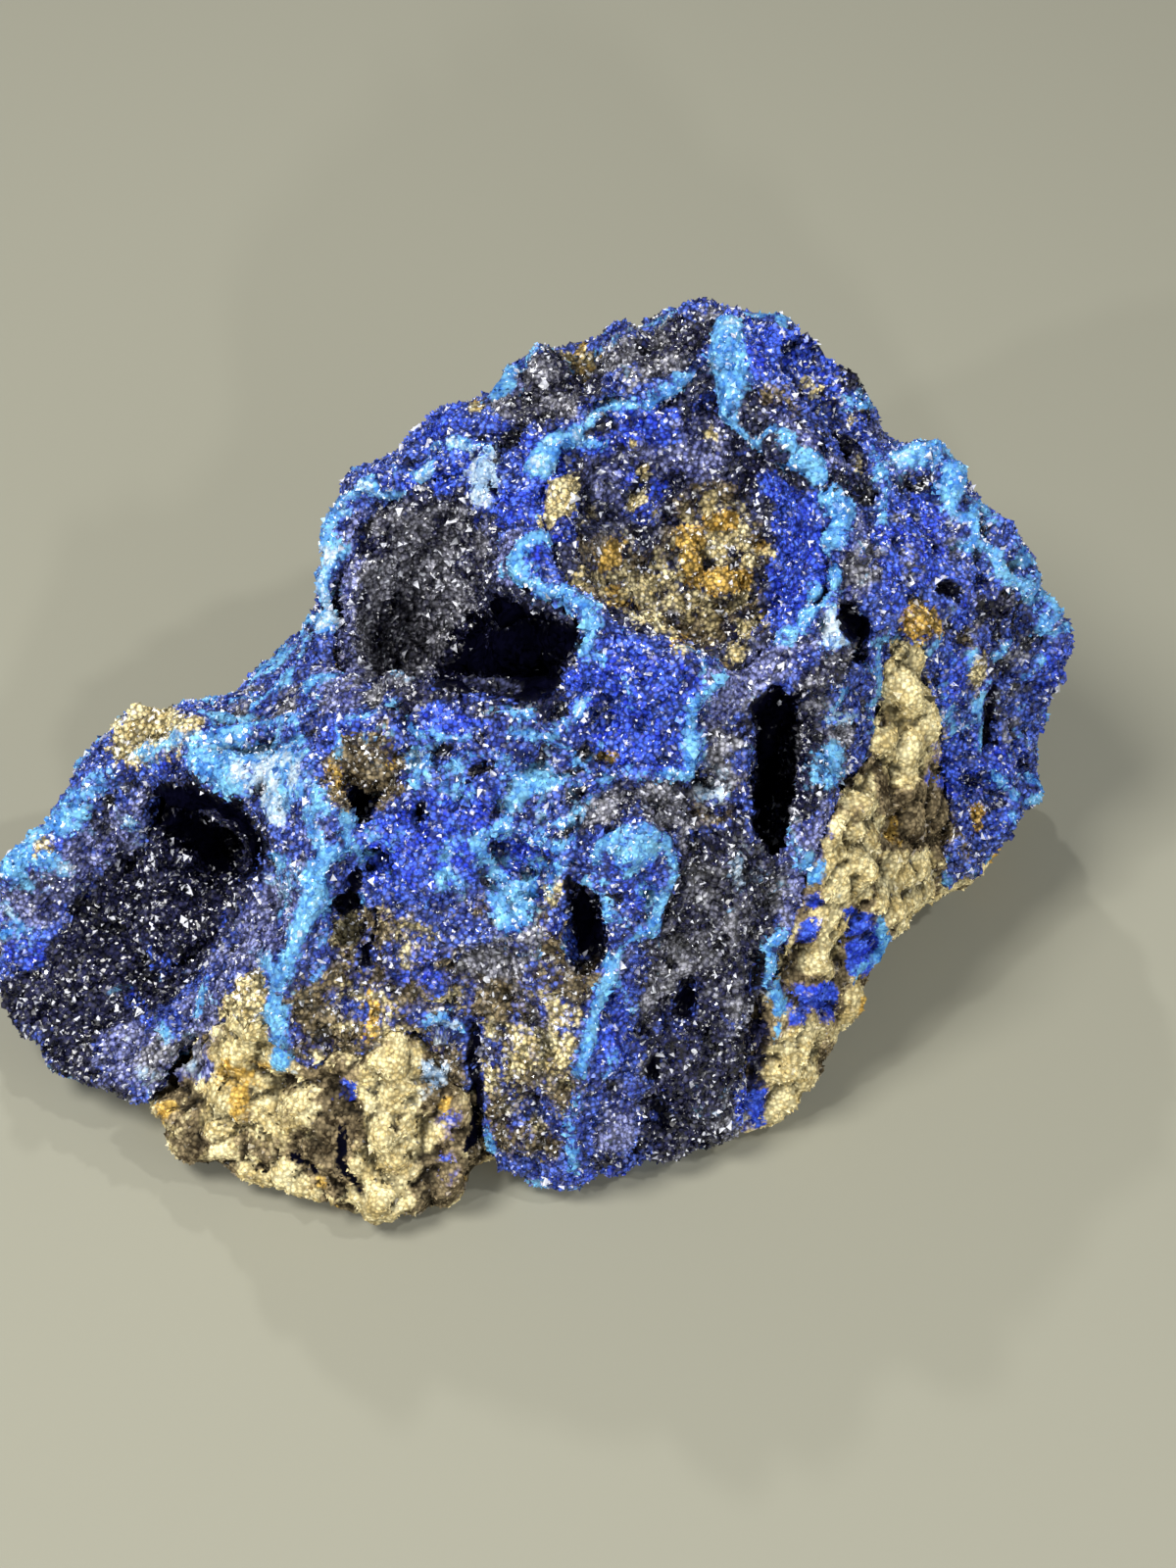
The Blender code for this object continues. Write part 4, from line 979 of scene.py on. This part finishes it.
# Crystal forms of unit size, both closed: a wedge with a long ridge, and a slim spike.
WEDGE_BASE = ((-0.5, -0.5, 0.0), (0.5, -0.5, 0.0), (0.5, 0.5, 0.0), (-0.5, 0.5, 0.0))
WEDGE_POINTS = np.array((*WEDGE_BASE, (-0.28, 0.0, 1.0), (0.28, 0.0, 1.0)))
WEDGE_FACES = ((0, 2, 1), (0, 3, 2), (0, 1, 5), (0, 5, 4), (2, 3, 4), (2, 4, 5), (1, 2, 5), (3, 0, 4))
SPIKE_POINTS = np.array(((-0.5, -0.4, 0.0), (0.5, -0.3, 0.0), (0.0, 0.6, 0.0), (0.1, 0.0, 1.0)))
SPIKE_FACES = ((0, 2, 1), (0, 1, 3), (1, 2, 3), (2, 0, 3))
SHAPES = {"wedge": (WEDGE_POINTS, np.array(WEDGE_FACES)), "spike": (SPIKE_POINTS, np.array(SPIKE_FACES))}

# The brightest tone of each form, which also limits its painted glints, the share of a crystal's height that
# is sunk in the skin, the height in millimetres below which crystals are few, the lowest height a crystal
# reaches, and the tone of the skins, too low for painted glints.
TONE_MOST = {"wedge": 0.93, "spike": 1.0}
SUNK_SHARE = 0.3
BARE_TOP = 0.5
FLOOR_GAP = 0.02
SKIN_TONE = 0.3


def grow_crystals(skin, name, form, count, length, seed, lean):
    """Many small crystals on a skin, as one mesh."""
    rng = np.random.default_rng(seed)
    shape, shape_faces = SHAPES[form]
    corners = len(shape)
    points, normals, triangles, zones = skin["points"], skin["normals"], skin["triangles"], skin["zones"]
    a, b, c = (points[triangles[:, k]] for k in range(3))
    first = triangles[:, 0]
    area = np.linalg.norm(np.cross(b - a, c - a), axis=1) / 2
    density = 0.6 + 0.4 * zones["dark"][first] + 1.1 * zones["seen"][first]
    density *= 1.0 - 0.3 * zones["light"][first]
    density *= 1.0 - 0.95 * zones["deep"][first]
    density[points[first, 2] < BARE_TOP] *= 0.1
    chance = area * density
    picked = rng.choice(len(triangles), count, p=chance / chance.sum())
    share = rng.random((count, 2))
    over = share.sum(1) > 1
    share[over] = 1 - share[over]
    u, v = share[:, :1], share[:, 1:]
    root = a[picked] * (1 - u - v) + b[picked] * u + c[picked] * v
    corner = first[picked]
    axis = normals[corner] + lean * rng.normal(size=(count, 3))
    axis /= np.linalg.norm(axis, axis=1)[:, None]
    along = rng.normal(size=(count, 3))
    leftness = smoothstep(-6.0, -16.0, root[:, 0])[:, None]
    along = along * (1 - 0.75 * leftness) + GRAIN_DIRECTION * leftness
    along -= axis * (along * axis).sum(1)[:, None]
    along /= np.maximum(np.linalg.norm(along, axis=1), 1e-6)[:, None]
    across = np.cross(axis, along)
    long_side = length * rng.lognormal(0.0, 0.35, count)
    long_side *= 1.0 - 0.3 * zones["light"][corner]
    wide = long_side * rng.uniform(0.45, 0.8, count)
    tall = long_side * rng.uniform(0.4, 1.0, count)
    sized = shape[None] * np.stack((long_side, wide, tall), axis=1)[:, None]
    sized[:, :, 2] -= SUNK_SHARE * tall[:, None]
    place = root[:, None] + sized[:, :, :1] * along[:, None] + sized[:, :, 1:2] * across[:, None]
    place = (place + sized[:, :, 2:] * axis[:, None]).reshape(-1, 3)
    place[:, 2] = np.maximum(place[:, 2], FLOOR_GAP)
    faces = (shape_faces[None] + corners * np.arange(count)[:, None, None]).reshape(-1, 3)
    mesh = mesh_from_triangles(name, place * MM, faces)
    mesh.shade_flat()
    for zone in ZONES:
        store(mesh, zone, np.repeat(zones[zone][corner], corners))
    store(mesh, "tone_and_glint", np.repeat(rng.random(count) * TONE_MOST[form], corners))
    mesh.materials.append(skin["material"])
    obj = link(bpy.data.objects.new(name, mesh))
    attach(obj, "root")


def new_node(tree, kind, **settings):
    node = tree.nodes.new(kind)
    for key, value in settings.items():
        setattr(node, key, value)
    return node


# Colours of each zone: a deep and a bright one, between which the grains vary.
ZONE_COLOURS = {
    "dark": ((0.002, 0.002, 0.011), (0.034, 0.036, 0.105)),
    "royal": ((0.018, 0.040, 0.52), (0.095, 0.20, 1.0)),
    "violet": ((0.040, 0.050, 0.22), (0.33, 0.36, 0.68)),
    "brown": ((0.035, 0.024, 0.012), (0.32, 0.25, 0.14)),
    "grey": ((0.038, 0.038, 0.066), (0.40, 0.40, 0.46)),
    "cream": ((0.54, 0.42, 0.18), (0.93, 0.82, 0.47)),
    "ochre": ((0.42, 0.24, 0.04), (0.92, 0.62, 0.16)),
    "light": ((0.045, 0.20, 0.60), (0.22, 0.58, 0.87)),
    "pale": ((0.28, 0.46, 0.70), (0.66, 0.78, 0.88)),
    # The painted shade of holes and sunk spots: near black.
    "deep": ((0.0008, 0.0008, 0.003), (0.002, 0.002, 0.008)),
}
BASE_COLOURS = {
    "azurite": ((0.015, 0.026, 0.20), (0.12, 0.21, 0.82)),
    "limonite": ((0.19, 0.145, 0.08), (0.54, 0.42, 0.23)),
    "druse": ((0.005, 0.006, 0.022), (0.08, 0.09, 0.20)),
}

# Where a zone's grains begin to show, for most zones and for the light ones, and the range to full colour.
ZONE_EDGE = 1.65
LIGHT_EDGE = 1.60
EDGE_RANGE = 0.6

# How each mineral looks: grain size in millimetres, tilt of a grain's face, roughness, tone left by the
# painted shade in the gaps between grains, shine, which also sets the strength of the painted glints. The
# cloud size is in millimetres too.
MINERALS = {
    "azurite": {"grain": 0.22, "facet": 1.0, "rough": 0.20, "gap_shade": 0.30, "shine_and_glint": 0.5},
    "limonite": {"grain": 0.20, "facet": 0.25, "rough": 0.92, "gap_shade": 0.75, "shine_and_glint": 0.07},
    "druse": {"grain": 0.22, "facet": 1.1, "rough": 0.18, "gap_shade": 0.30, "shine_and_glint": 0.5},
}
CLOUD_SIZE = 1.1
REFRACTION = 1.6
# Near-white base colour of the painted glints.
GLINT_COLOUR = (0.85, 0.87, 0.95, 1.0)


def plug(socket, value):
    """Links another node's output into a socket, or sets the socket's own value."""
    if isinstance(value, bpy.types.NodeSocket):
        socket.id_data.links.new(value, socket)
    else:
        socket.default_value = value


def multiply_add(tree, value, factor, added):
    node = new_node(tree, "ShaderNodeMath", operation="MULTIPLY_ADD")
    for socket, given in zip(node.inputs, (value, factor, added)):
        plug(socket, given)
    return node.outputs["Value"]


def ranged(tree, value, source, target=(0.0, 1.0), curve="LINEAR"):
    """A value brought from one range to another."""
    node = new_node(tree, "ShaderNodeMapRange", interpolation_type=curve)
    plug(node.inputs["Value"], value)
    for name, given in zip(("From Min", "From Max", "To Min", "To Max"), (*source, *target)):
        plug(node.inputs[name], given)
    return node.outputs["Result"]


def mixed(tree, factor, first, second):
    node = new_node(tree, "ShaderNodeMix", data_type="RGBA", blend_type="MIX")
    for name, given in (("Factor", factor), ("A", first), ("B", second)):
        plug(node.inputs[name], given)
    return node.outputs["Result"]


def vector_maths(tree, operation, first, second=None):
    node = new_node(tree, "ShaderNodeVectorMath", operation=operation)
    plug(node.inputs[0], first)
    if second is not None:
        plug(node.inputs["Scale" if operation == "SCALE" else 1], second)
    return node.outputs["Vector"]


def mineral(kind, grain, facet, rough, gap_shade, shine_and_glint):
    """A granular mineral: zone weights mixed grain by grain, each grain with its own tilt and tone, plus
    painted shade and glints.
    """
    material = bpy.data.materials.new(f"{kind}_grains")
    material.use_nodes = True
    tree = material.node_tree
    tree.nodes.clear()
    output = new_node(tree, "ShaderNodeOutputMaterial")
    shader = new_node(tree, "ShaderNodeBsdfPrincipled")
    plug(output.inputs["Surface"], shader.outputs["BSDF"])
    place = new_node(tree, "ShaderNodeTexCoord").outputs["Object"]
    cells = new_node(tree, "ShaderNodeTexVoronoi", voronoi_dimensions="3D", feature="F1")
    plug(cells.inputs["Scale"], 1.0 / (grain * MM))
    plug(cells.inputs["Vector"], place)
    noise = new_node(tree, "ShaderNodeTexNoise", noise_dimensions="3D")
    plug(noise.inputs["Scale"], 1.0 / (CLOUD_SIZE * MM))
    plug(noise.inputs["Detail"], 5.0)
    plug(noise.inputs["Vector"], place)
    cloud = noise.outputs["Fac"]
    split = new_node(tree, "ShaderNodeSeparateColor")
    plug(split.inputs["Color"], cells.outputs["Color"])

    def weight(name):
        return new_node(tree, "ShaderNodeAttribute", attribute_name=name).outputs["Fac"]

    tone_and_glint = weight("tone_and_glint")
    mottle = multiply_add(tree, cloud, 1.9, -0.80)
    level = multiply_add(tree, tone_and_glint, 0.6, multiply_add(tree, split.outputs["Red"], 0.75, mottle))
    tint = ranged(tree, level, (0.2, 1.3), curve="SMOOTHSTEP")
    clump = multiply_add(tree, cloud, 2.2, -0.35)
    spot = multiply_add(tree, split.outputs["Green"], 0.5, clump)

    def colour_pair(pair):
        return mixed(tree, tint, (*pair[0], 1.0), (*pair[1], 1.0))

    def mix_zone(colour, zone, first_at):
        passed = multiply_add(tree, weight(zone), 2.0, spot)
        factor = ranged(tree, passed, (first_at, first_at + EDGE_RANGE), curve="SMOOTHSTEP")
        return mixed(tree, factor, colour, colour_pair(ZONE_COLOURS[zone]))

    # Painted shade: darker in the gaps between grains and a little lighter at their middles.
    def shade_gaps(colour, lowest):
        left = ranged(tree, cells.outputs["Distance"], (0.25, 0.75), (1.12, lowest), "SMOOTHSTEP")
        return vector_maths(tree, "SCALE", colour, left)

    colour = colour_pair(BASE_COLOURS[kind])
    for zone in ("dark", "royal", "violet", "brown", "grey", "cream", "ochre"):
        colour = mix_zone(colour, zone, ZONE_EDGE)
    colour = shade_gaps(colour, gap_shade)
    for zone in ("light", "pale"):
        colour = mix_zone(colour, zone, LIGHT_EDGE)
    # Painted shade: the crevice and hollow weight darkens the colour, and the gaps between grains are shaded
    # once more.
    crevice_shade = ranged(tree, weight("shade"), (0.0, 1.0), (1.0, 0.12))
    colour = shade_gaps(vector_maths(tree, "SCALE", colour, crevice_shade), 0.75)
    # Painted shade: the holes and sunk spots turn near black.
    colour = mix_zone(colour, "deep", ZONE_EDGE)
    # Painted glints: grains of the highest tone get a near-white base colour.
    glint = ranged(tree, tone_and_glint, (0.885, 0.920), (0.0, 1.8 * shine_and_glint))
    plug(shader.inputs["Base Color"], mixed(tree, glint, colour, GLINT_COLOUR))

    normal = new_node(tree, "ShaderNodeNewGeometry").outputs["Normal"]
    centred = vector_maths(tree, "SUBTRACT", cells.outputs["Color"], (0.5, 0.5, 0.5))
    tilted = vector_maths(tree, "ADD", normal, vector_maths(tree, "SCALE", centred, facet))
    plug(shader.inputs["Normal"], vector_maths(tree, "NORMALIZE", tilted))
    shader.inputs["IOR"].default_value = REFRACTION
    # No shine where holes are painted near black as shade.
    plug(shader.inputs["Specular IOR Level"], ranged(tree, weight("deep"), (0.0, 1.0), (shine_and_glint, 0.0)))
    roughness = ranged(tree, split.outputs["Blue"], (0.0, 1.0), (rough * 0.6, rough * 1.5))
    plug(shader.inputs["Roughness"], roughness)
    return material


def build_skins(frame):
    nodes = frame["nodes"]
    copies = {node: clean_copy(nodes[node]) for node, *_ in SKINS}
    tree = solid_tree(copies.values())
    lines = [(*line[:4], cast_line(tree, line[4], LINE_REACH)) for line in LINES]
    pits = [(half, depth, cast_line(tree, points, 0)) for half, depth, points in PITS]
    knobs = [(half, height, cast_line(tree, points, KNOB_REACH)) for half, height, points in KNOBS]
    materials = {kind: mineral(kind, **look) for kind, look in MINERALS.items()}
    skins = {}
    for node, name, slot, growth, voxel, rounds in SKINS:
        mesh = copies[node]
        set_points(mesh, points_of(mesh) + normals_of(mesh) * growth)
        made = remeshed(mesh, voxel)
        pairs = edges_of(made)
        set_points(made, spread(points_of(made), pairs, rounds))
        base = points_of(made)
        points = shape_skin(base, normals_of(made), pairs, node, lines, pits, knobs)
        points[:, 2] = np.maximum(points[:, 2], 0.0)
        set_points(made, points)
        normals = normals_of(made)
        zones = weigh_zones(points, base, normals, pairs, node, lines, pits, tree)
        for zone in ZONES:
            store(made, zone, zones[zone])
        store(made, "tone_and_glint", np.full(len(points), SKIN_TONE))
        triangles = triangles_of(made)
        skins[node] = {
            "points": points,
            "normals": normals,
            "triangles": triangles,
            "zones": zones,
            "material": materials[slot],
            "slot": slot,
        }
        set_points(made, points * MM)
        made.shade_smooth()
        made.materials.clear()
        made.materials.append(materials[slot])
        obj = link(bpy.data.objects.new(name, made))
        made.name = name
        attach(obj, "root")
        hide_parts(node)
        print(name, len(triangles), "triangles")
    return skins


# Crystal pieces: name, CAD node, form, count, length in millimetres, seed, lean.
CRYSTALS = (
    ("azurite_crystals_a", "azurite_mass", "spike", 48000, 0.20, 1, 0.45),
    ("azurite_crystals_b", "azurite_mass", "spike", 48000, 0.27, 2, 0.50),
    ("azurite_crystals_c", "azurite_mass", "wedge", 9000, 0.30, 7, 0.50),
    ("limonite_grains", "limonite_rock", "spike", 17000, 0.21, 3, 0.60),
    ("trough_crystals", "druse_trough", "spike", 9000, 0.28, 4, 0.55),
    ("vug_crystals", "druse_vug", "spike", 11000, 0.28, 5, 0.55),
    ("bowl_crystals", "druse_bowl", "spike", 8000, 0.27, 6, 0.55),
)

# Lights: name, place and width in millimetres, power in watts, colour. All aim at the middle of the stone.
LIGHTS = (
    ("key", (-120.0, -60.0, 260.0), 110.0, 0.76, (1.0, 0.98, 0.95)),
    ("fill", (200.0, -160.0, 160.0), 160.0, 0.16, (0.95, 0.97, 1.0)),
    ("spark_left", (-170.0, -150.0, 150.0), 14.0, 0.18, (1.0, 1.0, 1.0)),
    ("spark_right", (150.0, -40.0, 220.0), 14.0, 0.18, (1.0, 1.0, 1.0)),
    ("spark_back", (-40.0, 190.0, 200.0), 14.0, 0.18, (1.0, 1.0, 1.0)),
    ("spark_front", (40.0, -210.0, 120.0), 14.0, 0.18, (1.0, 1.0, 1.0)),
)
LIGHT_TARGET = (0.0, 0.0, 10.0)
FLOOR_SIZE = 2.4
FLOOR_COLOUR = (0.27, 0.265, 0.205, 1.0)
WORLD_COLOUR = (0.95, 0.97, 1.0, 1.0)
WORLD_STRENGTH = 0.16


def area_light(name, place, width, power, colour):
    light = bpy.data.lights.new(name, "AREA")
    light.shape = "DISK"
    light.size = width * MM
    light.energy = power
    light.color = colour
    obj = link(bpy.data.objects.new(name, light))
    obj.location = Vector(place) * MM
    aim = Vector(LIGHT_TARGET) - Vector(place)
    obj.rotation_euler = aim.to_track_quat("-Z", "Y").to_euler()


def build_stage():
    bpy.ops.mesh.primitive_plane_add(size=FLOOR_SIZE, location=(0.0, 0.0, 0.0))
    floor = bpy.context.object
    floor.name = "floor"
    material = bpy.data.materials.new("floor_paper")
    material.use_nodes = True
    shader = material.node_tree.nodes["Principled BSDF"]
    shader.inputs["Base Color"].default_value = FLOOR_COLOUR
    shader.inputs["Roughness"].default_value = 0.8
    floor.data.materials.append(material)

    world = bpy.data.worlds.new("studio")
    bpy.context.scene.world = world
    world.use_nodes = True
    background = world.node_tree.nodes["Background"]
    background.inputs["Color"].default_value = WORLD_COLOUR
    background.inputs["Strength"].default_value = WORLD_STRENGTH
    for light in LIGHTS:
        area_light(*light)


def build_camera():
    data = bpy.data.cameras.new("camera")
    data.sensor_width = SENSOR
    data.lens = FOCAL_PIXELS / FRAME_HEIGHT * SENSOR
    data.clip_start = 0.005
    data.clip_end = 10.0
    camera = link(bpy.data.objects.new("camera", data))
    camera.location = Vector(CAMERA_PLACE) * MM
    camera.rotation_mode = "QUATERNION"
    camera.rotation_quaternion = Vector(-CAMERA_BACK).to_track_quat("-Z", "Y")
    bpy.context.scene.camera = camera
    bpy.context.scene.view_settings.view_transform = "Standard"


def main():
    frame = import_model()
    skins = build_skins(frame)
    for name, node, form, count, length, seed, lean in CRYSTALS:
        grow_crystals(skins[node], name, form, count, length, seed, lean)
    build_stage()
    build_camera()


main()
